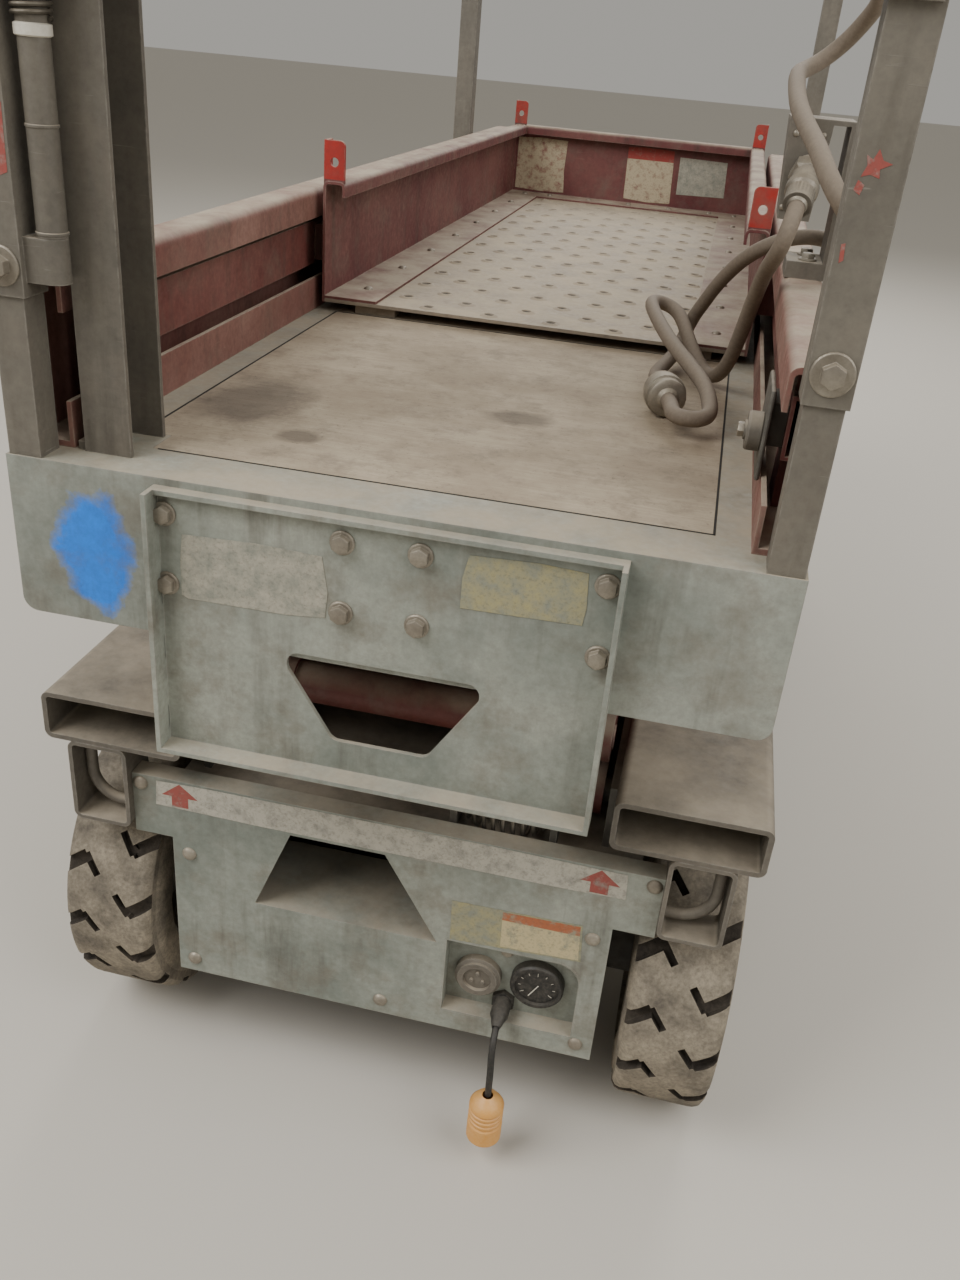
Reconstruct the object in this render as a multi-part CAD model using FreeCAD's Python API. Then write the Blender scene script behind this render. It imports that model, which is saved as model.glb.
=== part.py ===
# Slab scissor lift: chassis on four solid tyres, four-level scissor stack,
# platform with a roll-out extension deck, guard rails and an entry gate.
# Millimetres. X is right, Y is forward, Z is up. Places are first measured from the
# rear face of the platform's skirt and the floor, then shifted to the middle of the length.
import FreeCAD
import Part
import os
from math import asin, atan2, cos, degrees, pi, radians, sin, sqrt, tan

V = FreeCAD.Vector
X_AXIS = V(1, 0, 0)
Y_AXIS = V(0, 1, 0)
Z_AXIS = V(0, 0, 1)

# Fits and clearances
RUNNING_GAP = 0.05      # radial, pins and shafts in their bores
SEAT_GAP = 0.3          # sliding and rolling faces
CORD_ARC_SHARE = 0.48   # of the shorter run beside a cord's arc
OPEN_PIVOT_GAP = 0.5    # radial, the front pivots of the stack
MOVING_GAP = 8.0        # beside moving pieces

# Wheels
TYRE_RADIUS = 203.0
TYRE_WIDTH = 119.5
TYRE_BORE_RADIUS = 145.0
TYRE_TAPER = 6.0        # of each side, from the bore to the tread
TREAD_OUTER_X = 406.5
AXLE_REAR_Y = 254.0
WHEELBASE = 1716.0
RIM_WIDTH = 100.0
RIM_WALL = 12.0
RIM_DISC = 8.0
RIM_DISC_OUTSET = 22.0
HUB_RADIUS = 42.0
HUB_LENGTH = 50.0
SPINDLE_RADIUS = 20.0
SPINDLE_TIP = 4.0
DRIVE_RADIUS = 60.0

# Steering
KINGPIN_X = 240.0
KINGPIN_RADIUS = 12.0
KINGPIN_TUBE_RADIUS = 25.0
KINGPIN_TUBE_HEIGHT = 60.0
YOKE_PLATE = 12.0
YOKE_GAP = 5.0
YOKE_HALF_WIDTH = 30.0
YOKE_WEB = 13.0
STEER_ARM = 130.0
STEER_ARM_WIDTH = 24.0
STEER_PIN_RADIUS = 8.0
TIE_ROD_HEIGHT = 12.0
TIE_ROD_WIDTH = 28.0
AXLE_BEAM_DEPTH = 50.0
AXLE_BEAM_WIDTH = 60.0
AXLE_BEAM_LAP = 4.0     # into the kingpin's tube
STEER_PIN_PROUD = 4.0

# Chassis
SPINE_HALF_WIDTH = 120.0
CHASSIS_BOTTOM = 144.0
SHEET = 6.0
COVER_SHEET = 3.0
SPINE_START_Y = 250.0
SPINE_FRONT_GAP = 75.0
STRIP_WIDTH = 8.0
STRIP_RISE = 45.0       # above the lowest pivots
STRIP_START_Y = 120.0
STRIP_END_Y = 2200.0
BOX_TYRE_GAP = 27.0
BOX_END_Y = 472.0
COVER_Y = 70.0
COVER_SHOULDER_Z = 350.0
COVER_TOP_Z = 432.0
COVER_FLANGE = 25.0
FRONT_COVER_Y = 2240.0
TREAD_DEPTH = 120.0
TREAD_SIDE = 6.0
STEP_HOLE_TOP_X = (-115.0, -3.0)
STEP_HOLE_BOTTOM_X = (-159.0, 64.0)
STEP_HOLE_Z = (276.0, 388.0)
RECESS_SIDE = 25.0      # in from the rear box's side
RECESS_WIDTH = 161.0
RECESS_Z = (172.0, 285.0)
RECESS_DEPTH = 25.0
RECESS_SHEET = 2.0
RECESS_CORNER = 30.0
INLET_INSET, INLET_Z, INLET_RADIUS = 121.0, 222.0, 24.0
GAUGE_INSET, GAUGE_Z, GAUGE_RADIUS = 50.0, 228.0, 30.0
FITTING_RIM = 4.0
FITTING_SINK = 3.0
FITTING_PROUD = 13.0
GLAND_INSET, GLAND_Z, GLAND_RADIUS = 88.0, 188.0, 10.0
GLAND_Y = 66.0

# Fork pockets and tie-downs
POCKET_X = (240.0, 403.0)
POCKET_Z = (467.0, 527.0)
POCKET_Y = (59.0, 2251.0)
POCKET_WALL = 6.0
POCKET_CORNER = 10.0
TIE_X = (306.0, 377.0)
TIE_BOTTOM = 360.0
TIE_LENGTH = 51.0
TIE_WALL = 5.0
TIE_BAR_RADIUS = 6.5
TIE_BAR_LOW = 14.0      # from the section's floor to the bar
TIE_BAR_SIDE = 9.0      # from the section's outer wall to the bar
TIE_BAR_BEND = 0.7      # share of the shorter run

# Trays between the wheels
TRAY_INNER_X = 130.0
TRAY_OUTER_X = 400.0
TRAY_Y = (480.0, 1655.0)
TRAY_WALL = 4.0
TRAY_LIP = 90.0
TRAY_DOOR_TOP = 460.0
TRAY_HINGE_INSET = 12.0
TRAY_HINGE_RADIUS = 8.0
TRAY_FOOT_EDGE = 4.0    # round the hinge pin
TRAY_FOOT_LAP = 10.0    # over the rear box's end
BATTERY = (180.0, 262.0, 240.0)
BATTERY_COUNT = 4
BATTERY_SPACE = 12.0
TERMINAL = 16.0
TERMINAL_HEIGHT = 8.0
TERMINAL_INSET = 22.0
TANK = (200.0, 460.0, 230.0)
TANK_START = 60.0
TANK_CORNER = 15.0
PUMP_RADIUS = 60.0
PUMP_LENGTH = 300.0
PUMP_RISE = 100.0
CRADLE_WIDTH = 80.0
CRADLE_INSET = 80.0
VALVE = (140.0, 110.0, 150.0)

# Scissor stack
LEVELS = 4
ARM_LENGTH = 1880.0
LEVEL_PITCH = 72.0
PIVOT_Y = 180.0
PIVOT_Z = 455.0
ARM_DEPTH = 58.0
ARM_WIDTH = 36.0
INNER_ARM_X = 144.0
ARM_GAP = 8.0
STACK_PIN_RADIUS = 14.0
CROSS_TUBE_RADIUS = 24.0
ROLLER_RADIUS = 34.0
ROLLER_WIDTH = 30.0
ROLLER_SIDE_GAP = 5.0
PIN_PROUD = 2.0
EAR_LAP = 20.0          # of the cylinder's ear above the arm's middle

# Lift cylinder, from the first inner arms to a lever on the second
CYL_FOOT_INSET = 122.0  # from the arm's rear pivot
CYL_FOOT_ABOVE = -44.0
CYL_HEAD_ALONG = -41.0
CYL_HEAD_ABOVE = 110.0
CYL_BARREL_RADIUS = 38.0
CYL_ROD_RADIUS = 20.0
CYL_BARREL_LENGTH = 690.0
CYL_ROD_INSERT = 110.0
CYL_EYE_RADIUS = 27.0
CYL_EYE_WIDTH = 60.0
CYL_PIN_RADIUS = 15.0
CYL_NECK = 10.0
CYL_EYE_INSET = 1.0     # of the rod's eye inside the lever's edge
CYL_BORE_SPARE = 10.0   # behind the rod's end
LEVER_PLATE = 12.0
LEVER_TUBE_ALONG = 120.0

# Platform, with heights from the top of its deck
DECK_HALF_WIDTH = 368.0
DECK_SHEET = 12.0
TRACK_TOP_GAP = 1.0     # over the top rollers
JOIST_DEPTH = 32.0
JOIST_WIDTH = 50.0
JOIST_FIRST = (140.0, 220.0)
JOIST_PITCH = 488.0
SKIRT_DEPTH = 162.0
SKIRT_SHEET = 5.0
SKIRT_CORNER = 15.0
SILL = 6.0
PLATFORM_FRONT_Y = 2200.0
PLY_HALF_WIDTH = 287.0
PLY_START_Y = 70.0
PLY_SEAM = 0.5
PLY_JOINT_BEHIND = 4.0  # under the extension's rear edge
TRACK_START_Y = 1100.0
TRACK_WEB = 6.0
TRACK_SIDE_GAP = 4.0    # beside the top rollers
TRACK_EDGE = 1.0        # of the flanges past the rollers
TRACK_FLANGE = 5.0
HANGER_THICK = 12.0
HANGER_HALF = 40.0
HANGER_DROP = 28.0

# Side channels
CHANNEL_X = (320.0, 368.0)
CHANNEL_HEIGHT = 165.0
CHANNEL_START_Y = 40.0
CHANNEL_WALL = 6.0
CHANNEL_BEND = 10.0
LIP_WALL = 5.0
LIP_BOTTOM_HEIGHT = 45.0
LIP_TOP_HEIGHT = 38.0

# Extension deck
EXT_REAR_Y = 711.0
EXT_FRONT_Y = 2168.0
EXT_RISE = 18.0
EXT_SHEET = 5.0
EXT_PAD_X = (200.0, 260.0)
EXT_PAD_LENGTH = 50.0
EXT_PAD_INSET = 10.0
TOE_X = 304.0
TOE_WALL = 4.0
TOE_RISE = 178.0
TOE_FLANGE = 28.0
TOE_LIP = 20.0
TOE_FOOT = 78.0
TOE_BEND = 8.0
BEAM_X = (334.0, 355.0)
BEAM_RISE = 58.0
BEAM_DEPTH = 60.0
BEAM_Y = (130.0, 2160.0)
BEAM_WALL = 4.0
SPACER_LENGTH = 60.0
SPACER_SPARE = 5.0      # of the beam's depth, below and above
SPACER_INSET = 40.0
PAD_LENGTH = 60.0
PAD_INSET = 20.0
PAD_SIDE = 2.0
STUB_X = (278.0, 308.0)
STUB_WING = 26.0
STUB_HEIGHT = 53.0
STUB_PLATE = 5.0
STUB_CORNER = 8.0
STUB_HOLE_RADIUS = 6.0
STUB_HOLE_RISE = 25.0
STUB_INSET = 2.0

# Step plate on the skirt
STEP_HALF_WIDTH = 220.0
STEP_TOP_DROP = 7.0
STEP_HEIGHT = 277.0
STEP_SHEET = 5.0
STEP_FLANGE = 28.0
STEP_LIP = 8.0
FOOT_HOLE_X = (-90.0, 100.0)
FOOT_HOLE_TAPER = 47.0
FOOT_HOLE_RISE = 38.0
FOOT_HOLE_HEIGHT = 91.0
FOOT_HOLE_SIDE = 17.0
FOOT_HOLE_CORNER = 12.0

# Guard rails and gate
POST = 38.0
STAKE = 32.0
STAKE_HEIGHT = 146.0
POST_REAR_Y = -1.0
RAIL_HEIGHT = 1103.0
MID_RAIL_HEIGHT = 651.0
FRONT_POST_Y = 1900.0
FRONT_POST_DROP = 37.0
BRACE_RISE = 183.0
GATE_POST_X = (-307.0, -260.0)
GATE_POST_Y = (36.0, 107.0)
GATE_POST_WALL = 5.0
GATE_PAD_EDGE = 4.0  # steel round the post's foot, let into the plywood
GATE_FOOT = (-316.0, -292.0, 40.0, 100.0)
GATE_FOOT_PLATE = 8.0
GATE_LINK_INSET = 20.0
GATE_HINGE_X = -309.0
GATE_HINGE_Y = 18.0
GATE_PIN_RADIUS = 8.0
GATE_PIN_BELOW = 30.0
GATE_TUBE_RADIUS = 13.0
GATE_RISE = 197.0
GATE_BAR = 24.0
GATE_BRACKET_TOP = 12.0
GATE_BRACKET_LOW = 38.0
GATE_RAIL_RISE = 422.0
GATE_END_X = 322.0
STRIKE = (280.0, 365.0)
STRIKE_HEIGHT = 40.0
STRIKE_SHEET = 6.0

# Controls and cables
CONTROL_X = (252.0, 326.0)
CONTROL_Y = (60.0, 260.0)
CONTROL_DROP = 80.0     # below the top rail
CONTROL_HEIGHT = 170.0
CONTROL_CORNER = 8.0
HANGER_INSET = 20.0
HANGER_HEIGHT = 40.0
HANGER_LAP = 20.0       # over the top rail's side
LEVER_RADIUS, LEVER_HEIGHT, LEVER_INSET = 12.0, 50.0, 60.0
BUTTON_RADIUS, BUTTON_HEIGHT, BUTTON_INSET = 18.0, 22.0, 50.0
CABLE_RADIUS = 9.0
GLAND_WALL = 4.0
GLAND_LENGTH = 25.0
BRACKET_X = (297.0, 366.0)
BRACKET_Y = (455.0, 525.0)
BRACKET_BASE_X = 322.0
BRACKET_BASE = 18.0
BRACKET_HEIGHT = 162.0
BRACKET_PLATE = 5.0
JUNCTION_WIDTH = 46.0
JUNCTION_RISE = 60.0
JUNCTION_TAPER = 6.0
FITTING_START = (326.0, 456.0, 1106.0)
FITTING_RADIUS = 15.0
CONNECTOR_FRONT = (218.0, 404.0)
CONNECTOR_BACK = (208.0, 446.0)
CONNECTOR_RADIUS = 22.0
CONNECTOR_RISE = 2.4  # its straps hold it just clear of the deck
PIGTAIL_RADIUS = 4.0
PLUG_RADIUS = 21.0
PLUG_BEVEL = 4.0
PLUG_Z = (35.0, 105.0)

# Anchored coil behind the step plate
COIL_X = (70.0, 175.0)
COIL_Y = 116.0
COIL_Z = 460.0
COIL_RADIUS = 19.0
COIL_WIRE = 5.0
COIL_LUG = 8.0

# Worked out from the sizes above
AXLE_Z = TYRE_RADIUS
AXLE_FRONT_Y = AXLE_REAR_Y + WHEELBASE
TYRE_CENTRE_X = TREAD_OUTER_X - TYRE_WIDTH / 2
TYRE_INNER_X = TREAD_OUTER_X - TYRE_WIDTH
BOX_HALF_WIDTH = TYRE_INNER_X - BOX_TYRE_GAP
RECESS_X = (BOX_HALF_WIDTH - RECESS_SIDE - RECESS_WIDTH, BOX_HALF_WIDTH - RECESS_SIDE)
INLET_X = RECESS_X[1] - INLET_INSET
GAUGE_X = RECESS_X[1] - GAUGE_INSET
GLAND_X = RECESS_X[1] - GLAND_INSET
REST_ANGLE = asin(LEVEL_PITCH / ARM_LENGTH)
ARM_RUN = ARM_LENGTH * cos(REST_ANGLE)
FRONT_PIVOT_Y = PIVOT_Y + ARM_RUN
CYL_FOOT_ALONG = CYL_FOOT_INSET - ARM_LENGTH / 2
OUTER_ARM_X = INNER_ARM_X + ARM_WIDTH + ARM_GAP
STACK_HALF_WIDTH = OUTER_ARM_X + ARM_WIDTH
TOP_PIVOT_Z = PIVOT_Z + LEVELS * LEVEL_PITCH
TOP_PLATE_Z = PIVOT_Z - ROLLER_RADIUS - SEAT_GAP
STRIP_X = STACK_HALF_WIDTH + MOVING_GAP
STRIP_TOP = PIVOT_Z + STRIP_RISE
SPINE_END_Y = AXLE_FRONT_Y + SPINE_FRONT_GAP
JOIST_BOTTOM = TOP_PIVOT_Z + ROLLER_RADIUS + TRACK_TOP_GAP + TRACK_FLANGE
DECK_TOP = JOIST_BOTTOM + JOIST_DEPTH + DECK_SHEET
SKIRT_BOTTOM = DECK_TOP - SKIRT_DEPTH
CHANNEL_TOP = DECK_TOP + CHANNEL_HEIGHT
EXT_TOP = DECK_TOP + EXT_RISE
TOE_TOP = DECK_TOP + TOE_RISE
BEAM_Z = (DECK_TOP + BEAM_RISE, DECK_TOP + BEAM_RISE + BEAM_DEPTH)
STEP_Z = (DECK_TOP - STEP_TOP_DROP - STEP_HEIGHT, DECK_TOP - STEP_TOP_DROP)
STAKE_TOP = DECK_TOP + STAKE_HEIGHT
RAIL_TOP = DECK_TOP + RAIL_HEIGHT
MID_RAIL_TOP = DECK_TOP + MID_RAIL_HEIGHT
RAIL_X = DECK_HALF_WIDTH - POST
GATE_BOTTOM = DECK_TOP + GATE_RISE
GATE_RAIL_Z = DECK_TOP + GATE_RAIL_RISE
CONTROL_TOP = RAIL_TOP - CONTROL_DROP
CONTROL_BOTTOM = CONTROL_TOP - CONTROL_HEIGHT
CONNECTOR_Z = DECK_TOP + CONNECTOR_RISE + CONNECTOR_RADIUS
TRAY_BOTTOM = CHASSIS_BOTTOM + SEAT_GAP
REARMOST_Y = -STEP_FLANGE
FOREMOST_Y = POCKET_Y[1]
MIDDLE_Y = (REARMOST_Y + FOREMOST_Y) / 2


def box(x0, x1, y0, y1, z0, z1):
    """A block between two corners."""
    return Part.makeBox(x1 - x0, y1 - y0, z1 - z0, V(x0, y0, z0))


def mirrored(shape):
    """The same shape on the other side of the middle plane."""
    return shape.mirror(V(0, 0, 0), X_AXIS)


def pair(shape):
    """A shape and its mirror image."""
    return [shape, mirrored(shape)]


def joined(shapes):
    """One solid from shapes that meet."""
    shapes = list(shapes)
    if len(shapes) == 1:
        return shapes[0]
    return shapes[0].multiFuse(shapes[1:]).removeSplitter()


def rod_x(x0, x1, y, z, radius):
    """A round bar along X."""
    return Part.makeCylinder(radius, x1 - x0, V(x0, y, z), X_AXIS)


def rod_y(y0, y1, x, z, radius):
    """A round bar along Y."""
    return Part.makeCylinder(radius, y1 - y0, V(x, y0, z), Y_AXIS)


def rod_z(z0, z1, x, y, radius):
    """A round bar along Z."""
    return Part.makeCylinder(radius, z1 - z0, V(x, y, z0), Z_AXIS)


def rod_between(start, end, radius):
    """A round bar between two points."""
    return Part.makeCylinder(radius, (end - start).Length, start, end - start)


def prism(points, travel):
    """A flat outline pushed along a vector."""
    loop = Part.makePolygon(list(points) + [points[0]])
    return Part.Face(loop).extrude(travel)


def outline_xz(points, y0, y1):
    """An outline of (x, z) points pushed from y0 to y1."""
    return prism([V(x, y0, z) for x, z in points], V(0, y1 - y0, 0))


def outline_yz(points, x0, x1):
    """An outline of (y, z) points pushed from x0 to x1."""
    return prism([V(x0, y, z) for y, z in points], V(x1 - x0, 0, 0))


def upright_edges(shape, axis):
    """The straight edges of a shape that run along one axis."""
    found = []
    for edge in shape.Edges:
        if edge.Curve.TypeId == "Part::GeomLine":
            along = edge.tangentAt(edge.FirstParameter)
            if abs(abs(along.dot(axis)) - 1) < 1e-6:
                found.append(edge)
    return found


def square_tube_y(x0, x1, y0, y1, z0, z1, wall, corner=0.0):
    """A rectangular tube along Y."""
    outer = box(x0, x1, y0, y1, z0, z1)
    inner = box(x0 + wall, x1 - wall, y0 - 1, y1 + 1, z0 + wall, z1 - wall)
    if corner:
        outer = outer.makeFillet(corner, upright_edges(outer, Y_AXIS))
        if corner > wall:
            inner = inner.makeFillet(corner - wall, upright_edges(inner, Y_AXIS))
    return outer.cut(inner)


def rounded_bar(start, end, depth, x0, x1):
    """A flat bar in a YZ plane with round ends centred on its two (y, z) pivots."""
    dy, dz = end[0] - start[0], end[1] - start[1]
    length = sqrt(dy * dy + dz * dz)
    bar = box(x0, x1, 0, length, -depth / 2, depth / 2)
    ends = [rod_x(x0, x1, 0, 0, depth / 2), rod_x(x0, x1, length, 0, depth / 2)]
    whole = joined([bar] + ends)
    whole.rotate(V(0, 0, 0), X_AXIS, degrees(atan2(dz, dy)))
    whole.translate(V(0, start[0], start[1]))
    return whole


def bent_path(points, share):
    """Straight runs joined by tangent arcs that use a share of the shorter run, with the arcs' radii."""
    corners = [V(*p) for p in points]
    edges = []
    radii = []
    here = corners[0]
    for before, corner, after in zip(corners, corners[1:], corners[2:]):
        back, ahead = corner - before, after - corner
        turn = back.getAngle(ahead)
        reach = share * min(back.Length, ahead.Length)
        radii.append(reach / tan(turn / 2))
        back.normalize()
        ahead.normalize()
        first, last = corner - back * reach, corner + ahead * reach
        inward = ahead - back
        inward.normalize()
        centre = corner + inward * (radii[-1] / cos(turn / 2))
        middle = centre - inward * radii[-1]
        edges.append(Part.LineSegment(here, first).toShape())
        edges.append(Part.Arc(first, middle, last).toShape())
        here = last
    edges.append(Part.LineSegment(here, corners[-1]).toShape())
    return Part.Wire(edges), radii


def swept(path, radius):
    """A round bar along a path."""
    start = path.Edges[0]
    first = start.FirstParameter
    ring = Part.makeCircle(radius, start.valueAt(first), start.tangentAt(first))
    return path.makePipe(Part.Face(Part.Wire(ring)))


def cord(points, radius, name):
    """A round cord through chosen points, with each arc as large as its runs allow."""
    path, radii = bent_path(points, CORD_ARC_SHARE)
    tube = swept(path, radius)
    expected = pi * radius * radius * path.Length
    print(name, "length", round(path.Length), "radii", [round(r) for r in radii],
          "volume ratio", round(tube.Volume / expected, 4))
    return tube


def sheet_edge(shape, x, z):
    """The straight edge along Y of a shape at a given (x, z)."""
    for edge in upright_edges(shape, Y_AXIS):
        if abs(edge.BoundBox.XMin - x) < 0.01 and abs(edge.BoundBox.ZMin - z) < 0.01:
            return edge


def bend(shape, outer, inner, wall, radius):
    """Round a folded sheet at the (x, z) of a fold's outer and inner corners."""
    shape = shape.makeFillet(radius, [sheet_edge(shape, *outer)])
    return shape.makeFillet(radius - wall, [sheet_edge(shape, *inner)])


# Stack geometry at rest
def level_centre(level):
    """The (y, z) of the middle pin of a level, counted from 1."""
    return PIVOT_Y + ARM_RUN / 2, PIVOT_Z + (level - 0.5) * LEVEL_PITCH


def on_inner_arm(level, along, above):
    """A place on an inner arm: along it towards the front end, and square to it."""
    y, z = level_centre(level)
    return (y + along * cos(REST_ANGLE) + above * sin(REST_ANGLE),
            z - along * sin(REST_ANGLE) + above * cos(REST_ANGLE))


CYL_FOOT = on_inner_arm(1, CYL_FOOT_ALONG, CYL_FOOT_ABOVE)
CYL_HEAD = on_inner_arm(2, CYL_HEAD_ALONG, CYL_HEAD_ABOVE)
CYL_ANGLE = atan2(CYL_HEAD[1] - CYL_FOOT[1], CYL_HEAD[0] - CYL_FOOT[0])
CYL_LENGTH = sqrt((CYL_HEAD[0] - CYL_FOOT[0]) ** 2 + (CYL_HEAD[1] - CYL_FOOT[1]) ** 2)


# Wheels
def tyre(side, axle_y):
    """A solid tyre with sides that taper to the tread."""
    half = TYRE_WIDTH / 2
    section = [(-half, TYRE_BORE_RADIUS), (half, TYRE_BORE_RADIUS), (half - TYRE_TAPER, TYRE_RADIUS),
               (TYRE_TAPER - half, TYRE_RADIUS)]
    return turned(section, side, axle_y)


def rim(side, axle_y):
    """A pressed wheel: barrel, coned disc towards the outside and a hub on the spindle."""
    half = RIM_WIDTH / 2
    barrel_in = TYRE_BORE_RADIUS - RIM_WALL
    disc_x = RIM_DISC_OUTSET
    hub_start = disc_x - HUB_LENGTH / 2
    hub_end = hub_start + HUB_LENGTH
    bore = SPINDLE_RADIUS + RUNNING_GAP
    section = [(-half, TYRE_BORE_RADIUS), (half, TYRE_BORE_RADIUS), (half, barrel_in),
               (disc_x + RIM_DISC, barrel_in), (hub_end, HUB_RADIUS), (hub_end, bore), (hub_start, bore),
               (hub_start, HUB_RADIUS), (disc_x, barrel_in), (-half, barrel_in)]
    return turned(section, side, axle_y)


def turned(section, side, axle_y):
    """An (x, radius) section, x outwards from the wheel's middle, turned about its axle."""
    face = Part.Face(Part.makePolygon([V(x, 0, r) for x, r in section + section[:1]]))
    wheel = face.revolve(V(0, 0, 0), X_AXIS, 360)
    if side < 0:
        wheel = mirrored(wheel)
    wheel.translate(V(side * TYRE_CENTRE_X, axle_y, AXLE_Z))
    return wheel


HUB_INNER_X = TYRE_CENTRE_X + RIM_DISC_OUTSET - HUB_LENGTH / 2
SPINDLE_END_X = HUB_INNER_X + HUB_LENGTH + SPINDLE_TIP


# Chassis
def chassis_frame():
    """Spine, rear box, top plate, side strips with the stack's fixed pins, and rear hubs."""
    front_y = FRONT_COVER_Y
    under = TOP_PLATE_Z - SHEET
    floor_top = CHASSIS_BOTTOM + SHEET
    start_y = COVER_Y + COVER_SHEET
    pieces = [
        box(-SPINE_HALF_WIDTH, SPINE_HALF_WIDTH, SPINE_START_Y, SPINE_END_Y, CHASSIS_BOTTOM, TOP_PLATE_Z),
        box(-SPINE_HALF_WIDTH, SPINE_HALF_WIDTH, SPINE_END_Y, front_y, CHASSIS_BOTTOM, floor_top),
        box(-STRIP_X - STRIP_WIDTH, STRIP_X + STRIP_WIDTH, start_y, front_y, under, TOP_PLATE_Z),
        box(-BOX_HALF_WIDTH, BOX_HALF_WIDTH, start_y, BOX_END_Y, CHASSIS_BOTTOM, floor_top),
        box(-BOX_HALF_WIDTH, BOX_HALF_WIDTH, start_y, BOX_END_Y, under, TOP_PLATE_Z),
    ]
    side_plate = box(BOX_HALF_WIDTH - SHEET, BOX_HALF_WIDTH, start_y, BOX_END_Y, CHASSIS_BOTTOM, TOP_PLATE_Z)
    end_plate = box(SPINE_HALF_WIDTH, BOX_HALF_WIDTH, BOX_END_Y - SHEET, BOX_END_Y,
                    CHASSIS_BOTTOM, TOP_PLATE_Z)
    strip = box(STRIP_X, STRIP_X + STRIP_WIDTH, STRIP_START_Y, STRIP_END_Y, under, STRIP_TOP)
    pin = rod_x(OUTER_ARM_X - ARM_GAP / 2, STRIP_X + STRIP_WIDTH, PIVOT_Y, PIVOT_Z, STACK_PIN_RADIUS)
    hub = rod_x(BOX_HALF_WIDTH - SHEET, HUB_INNER_X - YOKE_GAP, AXLE_REAR_Y, AXLE_Z, DRIVE_RADIUS)
    spindle = rod_x(BOX_HALF_WIDTH, SPINDLE_END_X, AXLE_REAR_Y, AXLE_Z, SPINDLE_RADIUS)
    for piece in (side_plate, end_plate, strip, pin, hub, spindle):
        pieces += pair(piece)
    return joined(pieces)


def cover_outline():
    """Half outline of an end cover as (x, z): wide above the tyres, narrower between them."""
    return [(BOX_HALF_WIDTH, CHASSIS_BOTTOM), (BOX_HALF_WIDTH, COVER_SHOULDER_Z),
            (TIE_X[0], COVER_SHOULDER_Z), (TIE_X[0], COVER_TOP_Z)]


def end_cover(y0, y1):
    """A flat end cover."""
    right = cover_outline()
    left = [(-x, z) for x, z in reversed(right)]
    return outline_xz(right + left, y0, y1)


def chassis_rear_cover():
    """Rear cover with a step hole, its tread behind, and the charger's recess cut out."""
    back = COVER_Y + COVER_SHEET
    cover = end_cover(COVER_Y, back)
    flange = box(-TIE_X[0], TIE_X[0], back, COVER_Y + COVER_FLANGE, COVER_TOP_Z - COVER_SHEET, COVER_TOP_Z)
    bottom, top = STEP_HOLE_Z
    corners = [(STEP_HOLE_TOP_X[0], top), (STEP_HOLE_TOP_X[1], top), (STEP_HOLE_BOTTOM_X[1], bottom),
               (STEP_HOLE_BOTTOM_X[0], bottom)]
    hole = outline_xz(corners, COVER_Y - 1, back + 1)
    tread = box(STEP_HOLE_BOTTOM_X[0] - TREAD_SIDE, STEP_HOLE_BOTTOM_X[1] + TREAD_SIDE, back,
                back + TREAD_DEPTH, bottom - SHEET, bottom)
    recess = charger_recess(COVER_Y - 1, back + 1, 0)
    return joined([cover.cut(hole).cut(recess), flange, tread])


def charger_recess(y0, y1, inset):
    """The recess's block, with one rounded upper corner."""
    block = box(RECESS_X[0] + inset, RECESS_X[1] - inset, y0, y1, RECESS_Z[0] + inset, RECESS_Z[1] - inset)
    corner = [e for e in upright_edges(block, Y_AXIS)
              if e.BoundBox.XMax > RECESS_X[1] - inset - 1 and e.BoundBox.ZMax > RECESS_Z[1] - inset - 1]
    return block.makeFillet(RECESS_CORNER - inset, corner)


def charger_panel():
    """The recess's tray with the cord's gland."""
    floor_y = COVER_Y + RECESS_DEPTH
    inside = charger_recess(COVER_Y - 1, floor_y - RECESS_SHEET, RECESS_SHEET)
    tray = charger_recess(COVER_Y, floor_y, 0).cut(inside)
    gland = rod_y(GLAND_Y, floor_y - RECESS_SHEET / 2, GLAND_X, GLAND_Z, GLAND_RADIUS)
    return joined([tray, gland])


def panel_fitting(x, z, radius):
    """A round fitting on the recess's floor, hollow inside its rim."""
    floor_y = COVER_Y + RECESS_DEPTH - RECESS_SHEET
    face_y = floor_y - FITTING_PROUD
    body = rod_y(face_y, floor_y, x, z, radius)
    return body.cut(rod_y(face_y - 1, face_y + FITTING_SINK, x, z, radius - FITTING_RIM))


def fork_pockets():
    """Two flat tubes along the chassis, open at both ends."""
    tube = square_tube_y(POCKET_X[0], POCKET_X[1], POCKET_Y[0], POCKET_Y[1], POCKET_Z[0], POCKET_Z[1],
                         POCKET_WALL, POCKET_CORNER)
    return Part.makeCompound(pair(tube))


def tie_downs():
    """Four short box sections under the pockets' ends, each with a bent bar from its side to its top."""
    solids = []
    low = TIE_BOTTOM + TIE_WALL + TIE_BAR_LOW
    across = TIE_X[1] - TIE_WALL - TIE_BAR_SIDE
    for y0 in (POCKET_Y[0], POCKET_Y[1] - TIE_LENGTH):
        shell = square_tube_y(TIE_X[0], TIE_X[1], y0, y0 + TIE_LENGTH, TIE_BOTTOM, POCKET_Z[0],
                              TIE_WALL, POCKET_CORNER)
        bar_y = y0 + TIE_LENGTH / 2
        ends = [(TIE_X[0] + TIE_WALL / 2, bar_y, low), (across, bar_y, low),
                (across, bar_y, POCKET_Z[0] - TIE_WALL / 2)]
        bar = swept(bent_path(ends, TIE_BAR_BEND)[0], TIE_BAR_RADIUS)
        solids += pair(joined([shell, bar]))
    return Part.makeCompound(solids)


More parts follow.
